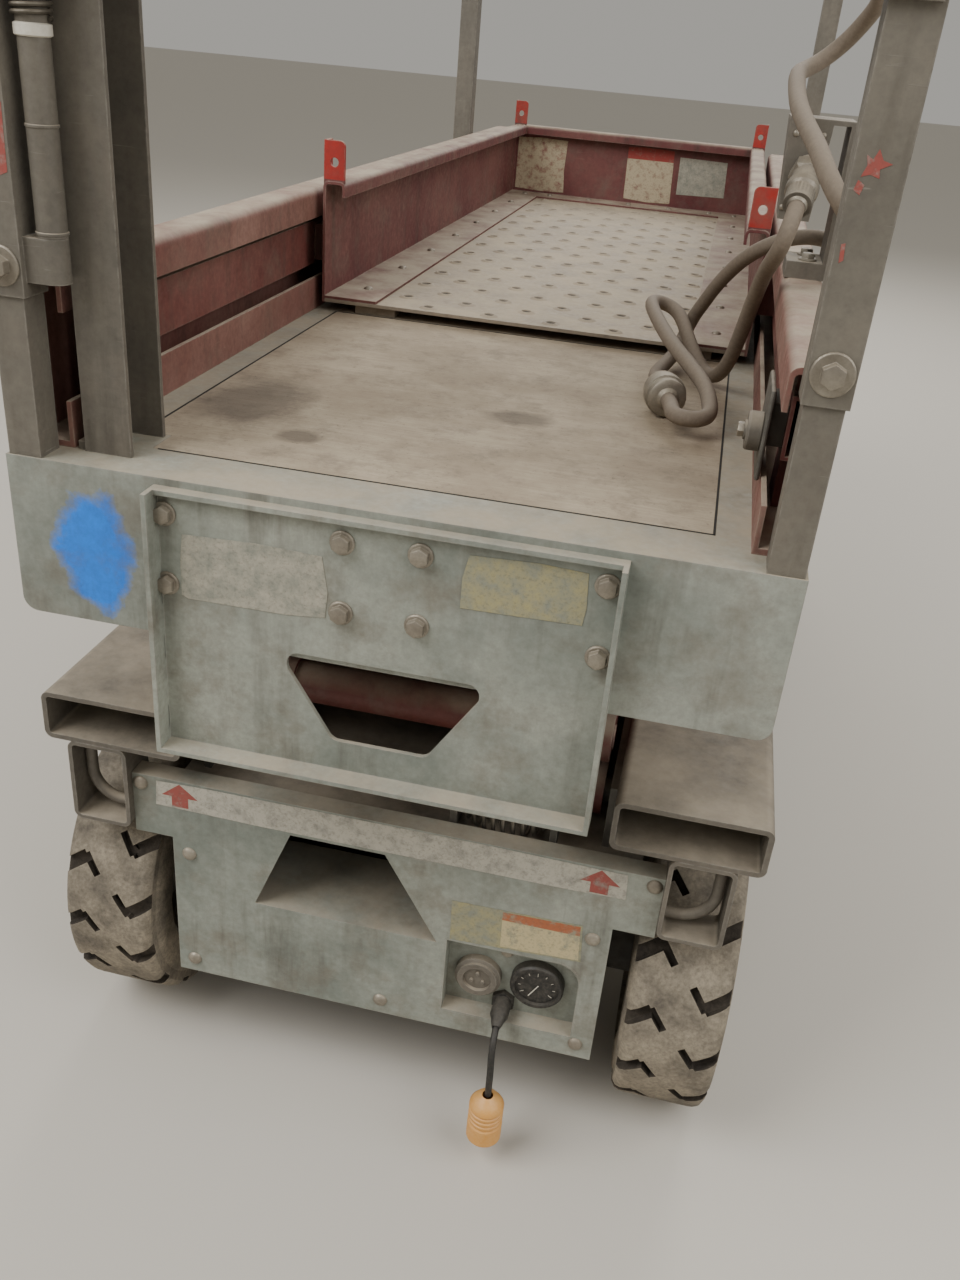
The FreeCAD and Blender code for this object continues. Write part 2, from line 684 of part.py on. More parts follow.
def coil():
    """The coil's outer form, hanging between its lugs."""
    body = rod_x(COIL_X[0], COIL_X[1], COIL_Y, COIL_Z, COIL_RADIUS)
    return body.cut(rod_x(COIL_X[0] - 1, COIL_X[1] + 1, COIL_Y, COIL_Z, COIL_RADIUS - COIL_WIRE))


def coil_lugs():
    """Two lugs on the top plate that hold the coil's ends."""
    solids = []
    for x0 in (COIL_X[0] - COIL_LUG, COIL_X[1]):
        solids.append(box(x0, x0 + COIL_LUG, COIL_Y - COIL_RADIUS, COIL_Y + COIL_RADIUS,
                          TOP_PLATE_Z, COIL_Z + COIL_RADIUS))
    return Part.makeCompound(solids)


# Front axle
def front_axle():
    """Axle beams from the spine to the kingpin tubes."""
    z0, z1 = AXLE_Z - AXLE_BEAM_DEPTH / 2, AXLE_Z + AXLE_BEAM_DEPTH / 2
    y0, y1 = AXLE_FRONT_Y - AXLE_BEAM_WIDTH / 2, AXLE_FRONT_Y + AXLE_BEAM_WIDTH / 2
    beam = box(SPINE_HALF_WIDTH, KINGPIN_X - KINGPIN_TUBE_RADIUS + AXLE_BEAM_LAP, y0, y1, z0, z1)
    half = KINGPIN_TUBE_HEIGHT / 2
    tube = rod_z(AXLE_Z - half, AXLE_Z + half, KINGPIN_X, AXLE_FRONT_Y, KINGPIN_TUBE_RADIUS)
    bore = rod_z(AXLE_Z - half - 1, AXLE_Z + half + 1, KINGPIN_X, AXLE_FRONT_Y, KINGPIN_RADIUS + RUNNING_GAP)
    return Part.makeCompound(pair(joined([beam, tube]).cut(bore)))


YOKE_HALF = KINGPIN_TUBE_HEIGHT / 2 + YOKE_GAP + YOKE_PLATE
YOKE_WEB_X = KINGPIN_X + KINGPIN_TUBE_RADIUS + YOKE_GAP
STEER_ARM_Z = AXLE_Z - YOKE_HALF


def knuckle(side):
    """Yoke round the kingpin tube, spindle with its drive, and a steering arm forward."""
    x0 = KINGPIN_X - KINGPIN_TUBE_RADIUS
    x1 = YOKE_WEB_X + YOKE_WEB
    y0, y1 = AXLE_FRONT_Y - YOKE_HALF_WIDTH, AXLE_FRONT_Y + YOKE_HALF_WIDTH
    top = box(x0, x1, y0, y1, AXLE_Z + YOKE_HALF - YOKE_PLATE, AXLE_Z + YOKE_HALF)
    bottom = box(x0, x1, y0, y1, STEER_ARM_Z, STEER_ARM_Z + YOKE_PLATE)
    web = box(YOKE_WEB_X, x1, y0, y1, STEER_ARM_Z, AXLE_Z + YOKE_HALF)
    kingpin = rod_z(STEER_ARM_Z, AXLE_Z + YOKE_HALF, KINGPIN_X, AXLE_FRONT_Y, KINGPIN_RADIUS)
    drive = rod_x(x1 - 1, HUB_INNER_X - YOKE_GAP, AXLE_FRONT_Y, AXLE_Z, DRIVE_RADIUS)
    spindle = rod_x(x1, SPINDLE_END_X, AXLE_FRONT_Y, AXLE_Z, SPINDLE_RADIUS)
    pin_y = AXLE_FRONT_Y + STEER_ARM
    half = STEER_ARM_WIDTH / 2
    arm = box(KINGPIN_X - half, KINGPIN_X + half, AXLE_FRONT_Y, pin_y, STEER_ARM_Z, STEER_ARM_Z + YOKE_PLATE)
    arm_end = rod_z(STEER_ARM_Z, STEER_ARM_Z + YOKE_PLATE, KINGPIN_X, pin_y, half)
    pin_top = STEER_ARM_Z + YOKE_PLATE + SEAT_GAP + TIE_ROD_HEIGHT + STEER_PIN_PROUD
    pin = rod_z(STEER_ARM_Z, pin_top, KINGPIN_X, pin_y, STEER_PIN_RADIUS)
    whole = joined([top, bottom, web, kingpin, drive, spindle, arm, arm_end, pin])
    return whole if side > 0 else mirrored(whole)


def tie_rod():
    """Flat bar with an eye over each steering arm's pin."""
    pin_y = AXLE_FRONT_Y + STEER_ARM
    z0 = STEER_ARM_Z + YOKE_PLATE + SEAT_GAP
    z1 = z0 + TIE_ROD_HEIGHT
    half = TIE_ROD_WIDTH / 2
    bar = box(-KINGPIN_X, KINGPIN_X, pin_y - half, pin_y + half, z0, z1)
    ends = [rod_z(z0, z1, x, pin_y, half) for x in (-KINGPIN_X, KINGPIN_X)]
    bores = [rod_z(z0 - 1, z1 + 1, -KINGPIN_X, pin_y, STEER_PIN_RADIUS + RUNNING_GAP),
             rod_z(z0 - 1, z1 + 1, KINGPIN_X, pin_y, STEER_PIN_RADIUS + OPEN_PIVOT_GAP)]
    return joined([bar] + ends).cut(Part.makeCompound(bores))


# Trays
def tray_shell(side):
    """Swing-out tray: floor, low inner walls and the outer door skin, with its hinge barrel."""
    x0, x1 = TRAY_INNER_X, TRAY_OUTER_X
    y0, y1 = TRAY_Y
    z0 = TRAY_BOTTOM
    w = TRAY_WALL
    floor = box(x0, x1, y0, y1, z0, z0 + w)
    inner = box(x0, x0 + w, y0, y1, z0, z0 + TRAY_LIP)
    rear = box(x0, x1, y0, y0 + w, z0, z0 + TRAY_LIP)
    front = box(x0, x1, y1 - w, y1, z0, z0 + TRAY_LIP)
    door = box(x1 - w, x1, y0, y1, z0, TRAY_DOOR_TOP)
    barrel = rod_z(z0, TRAY_DOOR_TOP, x1 - TRAY_HINGE_INSET, y0 + TRAY_HINGE_INSET, TRAY_HINGE_RADIUS + w)
    bore = rod_z(z0 - 1, TRAY_DOOR_TOP + 1, x1 - TRAY_HINGE_INSET, y0 + TRAY_HINGE_INSET,
                 TRAY_HINGE_RADIUS + RUNNING_GAP)
    whole = joined([floor, inner, rear, front, door, barrel]).cut(bore)
    return whole if side > 0 else mirrored(whole)


def tray_hinges():
    """Fixed hinge pins with brackets under the pockets and from the rear box."""
    x, y = TRAY_OUTER_X - TRAY_HINGE_INSET, TRAY_Y[0] + TRAY_HINGE_INSET
    low = CHASSIS_BOTTOM - SHEET
    pin = rod_z(low, POCKET_Z[0], x, y, TRAY_HINGE_RADIUS)
    foot = box(BOX_HALF_WIDTH - SHEET, x + TRAY_HINGE_RADIUS + TRAY_FOOT_EDGE,
               BOX_END_Y - TRAY_FOOT_LAP, y + TRAY_HINGE_RADIUS + TRAY_FOOT_EDGE, low, low + SHEET)
    return Part.makeCompound(pair(joined([pin, foot])))


def batteries():
    """Four batteries in a row on the left tray."""
    w, d, h = BATTERY
    x0 = (TRAY_INNER_X + TRAY_OUTER_X - w) / 2
    z0 = TRAY_BOTTOM + TRAY_WALL
    top = z0 + h
    total = BATTERY_COUNT * d + (BATTERY_COUNT - 1) * BATTERY_SPACE
    start = (TRAY_Y[0] + TRAY_Y[1] - total) / 2
    post_x = x0 + w - TERMINAL_INSET - TERMINAL
    solids = []
    for i in range(BATTERY_COUNT):
        y0 = start + i * (d + BATTERY_SPACE)
        pieces = [box(x0, x0 + w, y0, y0 + d, z0, top)]
        for post_y in (y0 + TERMINAL_INSET, y0 + d - TERMINAL_INSET - TERMINAL):
            pieces.append(box(post_x, post_x + TERMINAL, post_y, post_y + TERMINAL,
                              top, top + TERMINAL_HEIGHT))
        solids.append(mirrored(joined(pieces)))
    return Part.makeCompound(solids)


def hydraulic_unit():
    """Tank, pump motor and valve block on the right tray."""
    w, d, h = TANK
    x0 = (TRAY_INNER_X + TRAY_OUTER_X - w) / 2
    centre = x0 + w / 2
    y0 = TRAY_Y[0] + TANK_START
    motor_y = y0 + d
    valve_y = motor_y + PUMP_LENGTH
    z0 = TRAY_BOTTOM + TRAY_WALL
    tank = box(x0, x0 + w, y0, motor_y, z0, z0 + h)
    tank = tank.makeFillet(TANK_CORNER, upright_edges(tank, Z_AXIS))
    motor = rod_y(motor_y, valve_y, centre, z0 + PUMP_RISE, PUMP_RADIUS)
    cradle = box(centre - CRADLE_WIDTH / 2, centre + CRADLE_WIDTH / 2, motor_y + CRADLE_INSET,
                 valve_y - CRADLE_INSET, z0, z0 + PUMP_RISE)
    valve = box(centre - VALVE[0] / 2, centre + VALVE[0] / 2, valve_y, valve_y + VALVE[1], z0, z0 + VALVE[2])
    return joined([tank, motor, cradle, valve])


# Scissor stack
def arm_bar(rising, level, x0):
    """One bare arm of a level; rising arms go up towards the front."""
    low, high = PIVOT_Z + (level - 1) * LEVEL_PITCH, PIVOT_Z + level * LEVEL_PITCH
    rear_z, front_z = (low, high) if rising else (high, low)
    return rounded_bar((PIVOT_Y, rear_z), (FRONT_PIVOT_Y, front_z), ARM_DEPTH, x0, x0 + ARM_WIDTH)


def outer_arms(level):
    """The outer pair of a level, bored for the inner arms' pins."""
    x0, x1 = OUTER_ARM_X, OUTER_ARM_X + ARM_WIDTH
    low, high = PIVOT_Z + (level - 1) * LEVEL_PITCH, PIVOT_Z + level * LEVEL_PITCH
    arm = arm_bar(True, level, x0)
    centre = level_centre(level)
    last = level == LEVELS
    cuts = [rod_x(x0 - 1, x1 + 1, PIVOT_Y, low, STACK_PIN_RADIUS + RUNNING_GAP),
            rod_x(x0 - 1, x1 + 1, centre[0], centre[1], STACK_PIN_RADIUS + RUNNING_GAP)]
    if last:
        pin_end = x1 + ROLLER_SIDE_GAP + ROLLER_WIDTH + PIN_PROUD
        pin = rod_x(x0, pin_end, FRONT_PIVOT_Y, high, STACK_PIN_RADIUS)
        roller = rod_x(x1 + ROLLER_SIDE_GAP, x1 + ROLLER_SIDE_GAP + ROLLER_WIDTH, FRONT_PIVOT_Y, high,
                       ROLLER_RADIUS)
        arm = joined([arm, pin, roller])
    else:
        cuts.append(rod_x(x0 - 1, x1 + 1, FRONT_PIVOT_Y, high, STACK_PIN_RADIUS + OPEN_PIVOT_GAP))
    return Part.makeCompound(pair(arm.cut(Part.makeCompound(cuts))))


def inner_arms(level):
    """The inner pair of a level with its pins and end tubes, and what holds the lift cylinder."""
    x0, x1 = INNER_ARM_X, INNER_ARM_X + ARM_WIDTH
    low, high = PIVOT_Z + (level - 1) * LEVEL_PITCH, PIVOT_Z + level * LEVEL_PITCH
    centre = level_centre(level)
    pin_end = STACK_HALF_WIDTH + PIN_PROUD
    top_pin_end = OUTER_ARM_X + HANGER_THICK + PIN_PROUD if level == LEVELS else pin_end
    side = [arm_bar(False, level, x0),
            rod_x(x0, pin_end, centre[0], centre[1], STACK_PIN_RADIUS),
            rod_x(x0, top_pin_end, PIVOT_Y, high, STACK_PIN_RADIUS),
            rod_x(x0, pin_end, FRONT_PIVOT_Y, low, STACK_PIN_RADIUS)]
    if level == 1:
        roller_x = x1 + ROLLER_SIDE_GAP
        side.append(rod_x(roller_x, roller_x + ROLLER_WIDTH, FRONT_PIVOT_Y, low, ROLLER_RADIUS))
        ear = rounded_bar(CYL_FOOT, (CYL_FOOT[0], centre[1] + EAR_LAP), ARM_DEPTH, x0 - LEVER_PLATE, x0)
        side.append(ear)
    pieces = [rod_x(-x0, x0, PIVOT_Y, high, CROSS_TUBE_RADIUS),
              rod_x(-x0, x0, FRONT_PIVOT_Y, low, CROSS_TUBE_RADIUS)]
    if level == 1:
        pieces.append(rod_x(-x0, x0, CYL_FOOT[0], CYL_FOOT[1], CYL_PIN_RADIUS))
    if level == 2:
        seat = on_inner_arm(2, LEVER_TUBE_ALONG, 0)
        pieces.append(rod_x(-x0, x0, seat[0], seat[1], CROSS_TUBE_RADIUS))
        plate_x = CYL_EYE_WIDTH / 2 + SEAT_GAP
        lever = rounded_bar(seat, CYL_HEAD, 2 * CYL_EYE_RADIUS, plate_x, plate_x + LEVER_PLATE)
        pieces += pair(lever)
    for piece in side:
        pieces += pair(piece)
    return joined(pieces)


def along_cylinder(shape):
    """Place a shape made along +Y from the origin onto the lift cylinder's line."""
    shape.rotate(V(0, 0, 0), X_AXIS, degrees(CYL_ANGLE))
    shape.translate(V(0, CYL_FOOT[0], CYL_FOOT[1]))
    return shape


def lift_barrel():
    """Barrel with its foot eye and the bore for the rod."""
    half = CYL_EYE_WIDTH / 2
    tube = rod_y(CYL_EYE_RADIUS, CYL_BARREL_LENGTH, 0, 0, CYL_BARREL_RADIUS)
    neck = box(-half, half, 0, CYL_EYE_RADIUS + CYL_NECK, -CYL_EYE_RADIUS, CYL_EYE_RADIUS)
    eye = rod_x(-half, half, 0, 0, CYL_EYE_RADIUS)
    body = joined([tube, neck, eye])
    body = body.cut(rod_x(-half - 1, half + 1, 0, 0, CYL_PIN_RADIUS + RUNNING_GAP))
    bore = rod_y(CYL_ROD_INSERT - CYL_BORE_SPARE, CYL_BARREL_LENGTH + 1, 0, 0,
                 CYL_ROD_RADIUS + RUNNING_GAP)
    body = body.cut(bore)
    return along_cylinder(body)


def lift_rod():
    """Rod with its head eye and pin between the lever's plates."""
    half = CYL_EYE_WIDTH / 2
    shaft = rod_y(CYL_ROD_INSERT, CYL_LENGTH, 0, 0, CYL_ROD_RADIUS)
    eye = rod_x(-half, half, CYL_LENGTH, 0, CYL_EYE_RADIUS - CYL_EYE_INSET)
    return along_cylinder(joined([shaft, eye]))


# Platform
def platform_frame():
    """Skirt, sills, joists, border strips, roller tracks and the hangers on the stack."""
    half = DECK_HALF_WIDTH
    under = DECK_TOP - DECK_SHEET
    skirt = box(-half, half, 0, SKIRT_SHEET, SKIRT_BOTTOM, DECK_TOP)
    low = [e for e in upright_edges(skirt, Y_AXIS) if e.BoundBox.ZMax < SKIRT_BOTTOM + 1]
    pieces = [skirt.makeFillet(SKIRT_CORNER, low),
              box(-half, half, SKIRT_SHEET, PLY_START_Y, under, DECK_TOP),
              box(-half, half, JOIST_FIRST[0], JOIST_FIRST[1], JOIST_BOTTOM, under)]
    joist_room = PLATFORM_FRONT_Y - JOIST_WIDTH - JOIST_FIRST[0]
    for i in range(1, int(joist_room / JOIST_PITCH) + 1):
        y0 = JOIST_FIRST[0] + i * JOIST_PITCH
        pieces.append(box(-half, half, y0, y0 + JOIST_WIDTH, JOIST_BOTTOM, under))
    border = box(PLY_HALF_WIDTH, half, PLY_START_Y, PLATFORM_FRONT_Y, under, DECK_TOP)
    sill = box(half - SILL, half, SKIRT_SHEET, PLATFORM_FRONT_Y, JOIST_BOTTOM, under)
    track_x = STACK_HALF_WIDTH + ROLLER_SIDE_GAP - TRACK_EDGE
    web_x = STACK_HALF_WIDTH + ROLLER_SIDE_GAP + ROLLER_WIDTH + TRACK_SIDE_GAP
    low_z = TOP_PIVOT_Z - ROLLER_RADIUS - SEAT_GAP
    web = box(web_x, web_x + TRACK_WEB, TRACK_START_Y, PLATFORM_FRONT_Y, low_z - TRACK_FLANGE, JOIST_BOTTOM)
    low_flange = box(track_x, web_x, TRACK_START_Y, PLATFORM_FRONT_Y, low_z - TRACK_FLANGE, low_z)
    top_flange = box(track_x, web_x, TRACK_START_Y, PLATFORM_FRONT_Y, JOIST_BOTTOM - TRACK_FLANGE,
                     JOIST_BOTTOM)
    hanger = box(OUTER_ARM_X, OUTER_ARM_X + HANGER_THICK, PIVOT_Y - HANGER_HALF, PIVOT_Y + HANGER_HALF,
                 TOP_PIVOT_Z - HANGER_DROP, JOIST_BOTTOM)
    bore = rod_x(OUTER_ARM_X - 1, OUTER_ARM_X + HANGER_THICK + 1, PIVOT_Y, TOP_PIVOT_Z,
                 STACK_PIN_RADIUS + RUNNING_GAP)
    for piece in (border, sill, web, low_flange, top_flange, hanger.cut(bore)):
        pieces += pair(piece)
    pieces.append(gate_pad(0))
    return joined(pieces)


def gate_pad(seam):
    """The corner of steel under the gate post, grown by a seam where the plywood is cut round it."""
    x1, y1 = GATE_POST_X[1] + GATE_PAD_EDGE + seam, GATE_POST_Y[1] + GATE_PAD_EDGE + seam
    return box(-PLY_HALF_WIDTH, x1, PLY_START_Y, y1, DECK_TOP - DECK_SHEET, DECK_TOP)


def deck_plywood():
    """The main deck's two boards, with their joint under the extension's rear edge."""
    half = PLY_HALF_WIDTH - PLY_SEAM
    joint = EXT_REAR_Y + PLY_JOINT_BEHIND
    under = DECK_TOP - DECK_SHEET
    rear = box(-half, half, PLY_START_Y + PLY_SEAM, joint - PLY_SEAM, under, DECK_TOP)
    front = box(-half, half, joint + PLY_SEAM, PLATFORM_FRONT_Y, under, DECK_TOP)
    return Part.makeCompound([rear.cut(gate_pad(PLY_SEAM)), front])


def side_channel(side):
    """Lipped channel that guides a sliding beam, with the front pad under the beam."""
    x0, x1 = CHANNEL_X
    y0, y1 = CHANNEL_START_Y, PLATFORM_FRONT_Y
    w, lip = CHANNEL_WALL, x0 + LIP_WALL
    low, top = DECK_TOP, CHANNEL_TOP
    low_lip, top_lip = low + LIP_BOTTOM_HEIGHT, top - LIP_TOP_HEIGHT
    section = [(x0, low), (x1, low), (x1, top), (x0, top), (x0, top_lip), (lip, top_lip), (lip, top - w),
               (x1 - w, top - w), (x1 - w, low + w), (lip, low + w), (lip, low_lip), (x0, low_lip)]
    channel = outline_xz(section, y0, y1)
    channel = bend(channel, (x1, top), (x1 - w, top - w), w, CHANNEL_BEND)
    channel = bend(channel, (x0, top), (lip, top - w), w, CHANNEL_BEND)
    pad = box(BEAM_X[0], BEAM_X[1], y1 - PAD_LENGTH, y1, low + w / 2, BEAM_Z[0] - SEAT_GAP)
    whole = joined([channel, pad])
    return whole if side > 0 else mirrored(whole)


def step_plate():
    """Flanged plate bolted to the skirt, with a foot hole."""
    half = STEP_HALF_WIDTH
    z0, z1 = STEP_Z
    plate = box(-half, half, -STEP_SHEET, 0, z0, z1)
    left, right = FOOT_HOLE_X
    low = z0 + FOOT_HOLE_RISE
    high = low + FOOT_HOLE_HEIGHT
    side = high - FOOT_HOLE_SIDE
    corners = [(left, high), (right, high), (right, side), (right - FOOT_HOLE_TAPER, low),
               (left + FOOT_HOLE_TAPER, low), (left, side)]
    hole = outline_xz(corners, -STEP_SHEET - 1, 1)
    hole = hole.makeFillet(FOOT_HOLE_CORNER, upright_edges(hole, Y_AXIS))
    sides = pair(box(half - STEP_SHEET, half, -STEP_FLANGE, -STEP_SHEET, z0, z1))
    bottom = box(-half, half, -STEP_FLANGE, -STEP_SHEET, z0, z0 + STEP_SHEET)
    lip = box(-half, half, -STEP_SHEET - STEP_LIP, -STEP_SHEET, z1 - STEP_SHEET, z1)
    return joined([plate.cut(hole), bottom, lip] + sides)


def guard_rail(side):
    """Side rail: rear post on its stake, top and middle rails, front post outside the channel."""
    x0, x1 = RAIL_X, RAIL_X + POST
    inset = (POST - STAKE) / 2
    y0, y1 = POST_REAR_Y, POST_REAR_Y + POST
    end_y = FRONT_POST_Y + POST
    pieces = [box(x0 + inset, x1 - inset, y0 + inset, y1 - inset, DECK_TOP, STAKE_TOP),
              box(x0, x1, y0, y1, STAKE_TOP, RAIL_TOP),
              box(x0, x1, y1, end_y, RAIL_TOP - POST, RAIL_TOP),
              box(x0, x1, y1, end_y, MID_RAIL_TOP - POST, MID_RAIL_TOP),
              box(x1, x1 + POST, FRONT_POST_Y, end_y, DECK_TOP - FRONT_POST_DROP, RAIL_TOP)]
    if side > 0:
        return joined(pieces)
    start_z = DECK_TOP + BRACE_RISE
    rise = RAIL_TOP - POST / 2 - start_z
    brace = outline_yz([(y1, start_z), (y1, start_z + POST * sqrt(2)),
                        (y1 + rise - POST * sqrt(2), RAIL_TOP - POST / 2),
                        (y1 + rise, RAIL_TOP - POST / 2)], x0, x1)
    left = mirrored(joined(pieces + [brace]))
    return joined([left, gate_post(), gate_pin()])


def gate_post():
    """Open section beside the gate's hinge, from the deck to the top rail."""
    x0, x1 = GATE_POST_X
    y0, y1 = GATE_POST_Y
    w = GATE_POST_WALL
    outer = box(x0, x1, y0, y1, DECK_TOP, RAIL_TOP)
    hollow = box(x0 + w, x1 + 1, y0 + w, y1 - w, DECK_TOP - 1, RAIL_TOP + 1)
    link = box(-RAIL_X, x0, y0 + GATE_LINK_INSET, y1 - GATE_LINK_INSET, RAIL_TOP - POST, RAIL_TOP)
    foot = box(*GATE_FOOT, DECK_TOP, DECK_TOP + GATE_FOOT_PLATE)
    return joined([outer.cut(hollow), link, foot])


def gate_pin():
    """Fixed hinge pin with its lower and upper brackets on the left post."""
    x, y = GATE_HINGE_X, GATE_HINGE_Y
    r = GATE_TUBE_RADIUS
    low = GATE_BOTTOM - SEAT_GAP
    high = RAIL_TOP - GATE_BRACKET_TOP
    foot = low - GATE_BRACKET_LOW
    pin = rod_z(low - GATE_PIN_BELOW, (high + RAIL_TOP) / 2, x, y, GATE_PIN_RADIUS)
    lower = box(-RAIL_X, x, y - r, y + r, foot, low).fuse(rod_z(foot, low, x, y, r))
    upper = box(-RAIL_X, x, y - r, y + r, high, RAIL_TOP).fuse(rod_z(high, RAIL_TOP, x, y, r))
    return joined([pin, lower, upper])


def gate_frame():
    """Entry gate: hinge tube, two rails, latch stile and the strike on the right post."""
    x, y = GATE_HINGE_X, GATE_HINGE_Y
    top = RAIL_TOP - GATE_BRACKET_TOP - SEAT_GAP
    strike_top = GATE_RAIL_Z + STRIKE_HEIGHT
    y0, y1 = y - GATE_BAR / 2, y + GATE_BAR / 2
    tube = rod_z(GATE_BOTTOM, top, x, y, GATE_TUBE_RADIUS)
    bore = rod_z(GATE_BOTTOM - 1, top + 1, x, y, GATE_PIN_RADIUS + RUNNING_GAP)
    low_rail = box(x, GATE_END_X, y0, y1, GATE_RAIL_Z, GATE_RAIL_Z + GATE_BAR)
    top_rail = box(x, GATE_END_X, y0, y1, top - GATE_BAR, top)
    stile = box(GATE_END_X - GATE_BAR, GATE_END_X, y0, y1, GATE_RAIL_Z, top)
    back = POST_REAR_Y - SEAT_GAP
    strike = box(STRIKE[0], STRIKE[1], back - STRIKE_SHEET, back, GATE_RAIL_Z, strike_top)
    stand = box(STRIKE[0], GATE_END_X, back - STRIKE_SHEET, y, GATE_RAIL_Z, strike_top)
    return joined([tube, low_rail, top_rail, stile, strike, stand]).cut(bore)


# Extension
def extension_deck():
    """The roll-out deck's plate with its rear slide pads."""
    plate = box(-TOE_X, TOE_X, EXT_REAR_Y, EXT_FRONT_Y, EXT_TOP - EXT_SHEET, EXT_TOP)
    pad_y = EXT_REAR_Y + EXT_PAD_INSET
    pad = box(EXT_PAD_X[0], EXT_PAD_X[1], pad_y, pad_y + EXT_PAD_LENGTH,
              DECK_TOP + SEAT_GAP, EXT_TOP - EXT_SHEET)
    return joined([plate] + pair(pad))


def toe_board(length):
    """A folded kick board along Y: foot, web, rounded top flange and lip, its outer face at x = 0."""
    w = TOE_WALL
    low, foot, top = EXT_TOP - EXT_SHEET, EXT_TOP, TOE_TOP
    edge, toe = -w - TOE_FLANGE, -w - TOE_FOOT
    section = [(0, low), (0, top), (edge, top), (edge, top - TOE_LIP), (edge + w, top - TOE_LIP),
               (edge + w, top - w), (-w, top - w), (-w, foot + w), (toe, foot + w), (toe, foot),
               (-w, foot), (-w, low)]
    board = outline_xz(section, 0, length)
    board = bend(board, (0, top), (-w, top - w), w, TOE_BEND)
    return bend(board, (edge, top), (edge + w, top - w), w, TOE_BEND)


def toe_boards():
    """Kick boards on three sides with mitred corners, and the post stubs on their flanges."""
    outer, front = TOE_X + TOE_WALL, EXT_FRONT_Y + TOE_WALL
    side = toe_board(front - EXT_REAR_Y)
    side.translate(V(outer, EXT_REAR_Y, 0))
    ahead = toe_board(2 * outer)
    ahead.rotate(V(0, 0, 0), Z_AXIS, 90)
    ahead.translate(V(outer, front, 0))
    low, reach = EXT_TOP - EXT_SHEET - 1, 2 * TOE_FOOT
    corner, inner = V(outer, front, low), V(outer - reach, front - reach, low)
    rise = V(0, 0, TOE_TOP + 2 - low)
    side = side.cut(prism([corner, inner, V(inner.x, front + 1, low)], rise))
    ahead_waste = prism([corner, inner, V(outer + 1, inner.y, low)], rise)
    pieces = [ahead.cut(Part.makeCompound(pair(ahead_waste)))]
    for piece in (side, stub(EXT_REAR_Y + STUB_INSET), stub(front - STUB_WING - STUB_INSET)):
        pieces += pair(piece)
    return joined(pieces)


def stub(y0):
    """A guard post's stub: a plate with a pin hole across the flange and a wing along it."""
    x0, x1 = STUB_X
    top = TOE_TOP + STUB_HEIGHT
    plate = box(x0, x1, y0, y0 + STUB_PLATE, TOE_TOP - TOE_WALL / 2, top)
    plate = plate.makeFillet(STUB_CORNER, [sheet_edge(plate, x0, top)])
    wing = box(x1 - TOE_WALL, x1, y0, y0 + STUB_WING, TOE_TOP - TOE_BEND, top)
    hole = rod_y(y0 - 1, y0 + STUB_PLATE + 1, (x0 + x1) / 2, TOE_TOP + STUB_HOLE_RISE, STUB_HOLE_RADIUS)
    return joined([plate, wing]).cut(hole)


def sliding_beam(side):
    """Square tube inside a channel, with spacers to the kick board and rear slide pads."""
    x0, x1 = BEAM_X
    z0, z1 = BEAM_Z
    y0, y1 = BEAM_Y
    pieces = [square_tube_y(x0, x1, y0, y1, z0, z1, BEAM_WALL)]
    for y in (EXT_REAR_Y + SPACER_INSET, (EXT_REAR_Y + y1) / 2, y1 - SPACER_INSET - SPACER_LENGTH):
        pieces.append(box(TOE_X + TOE_WALL, x0, y, y + SPACER_LENGTH, z0 + SPACER_SPARE, z1 - SPACER_SPARE))
    pad_y = y0 + PAD_INSET
    low, high = DECK_TOP + CHANNEL_WALL + SEAT_GAP, CHANNEL_TOP - CHANNEL_WALL - SEAT_GAP
    pieces.append(box(x0 + PAD_SIDE, x1 - PAD_SIDE, pad_y, pad_y + PAD_LENGTH, low, z0))
    pieces.append(box(x0 + PAD_SIDE, x1 - PAD_SIDE, pad_y, pad_y + PAD_LENGTH, z1, high))
    whole = joined(pieces)
    return whole if side > 0 else mirrored(whole)


# Controls and cables
def control_box():
    """Operator's box hung on the right top rail, with its lever and stop button."""
    x0, x1 = CONTROL_X
    y0, y1 = CONTROL_Y
    z0, z1 = CONTROL_BOTTOM, CONTROL_TOP
    case = box(x0, x1, y0, y1, z0, z1)
    case = case.makeFillet(CONTROL_CORNER, upright_edges(case, Z_AXIS))
    hanger = box(x1 - 1, RAIL_X, y0 + HANGER_INSET, y1 - HANGER_INSET, z1 - HANGER_HEIGHT,
                 RAIL_TOP - POST + HANGER_LAP)
    x = (x0 + x1) / 2
    lever = rod_z(z1, z1 + LEVER_HEIGHT, x, y0 + LEVER_INSET, LEVER_RADIUS)
    button = rod_z(z1, z1 + BUTTON_HEIGHT, x, y1 - BUTTON_INSET, BUTTON_RADIUS)
    gland = rod_z(z0 - GLAND_LENGTH, z0, CABLE_B[0][0], CABLE_B[0][1], CABLE_RADIUS + GLAND_WALL)
    return joined([case, hanger, lever, button, gland])


def cable_bracket():
    """Bent strap on the right channel that carries a tapered junction box with a cable's fitting."""
    x0, x1 = BRACKET_X
    y0, y1 = BRACKET_Y
    base_top, top = CHANNEL_TOP + BRACKET_BASE, CHANNEL_TOP + BRACKET_HEIGHT
    low = CHANNEL_TOP + JUNCTION_RISE
    inner = x0 + JUNCTION_WIDTH
    base = box(BRACKET_BASE_X, x1, y0, y1, CHANNEL_TOP, base_top)
    leg = box(x1 - BRACKET_PLATE, x1, y0, y1, base_top, top)
    bar = box(x0, x1, y0, y1, top - BRACKET_PLATE, top)
    corners = [(x0 + JUNCTION_TAPER, low), (inner - JUNCTION_TAPER, low), (inner, top - BRACKET_PLATE),
               (x0, top - BRACKET_PLATE)]
    junction = outline_xz(corners, y0, y1)
    fitting = rod_between(V(*FITTING_START), V(*CABLE_A[0]), FITTING_RADIUS)
    return joined([base, leg, bar, junction, fitting])


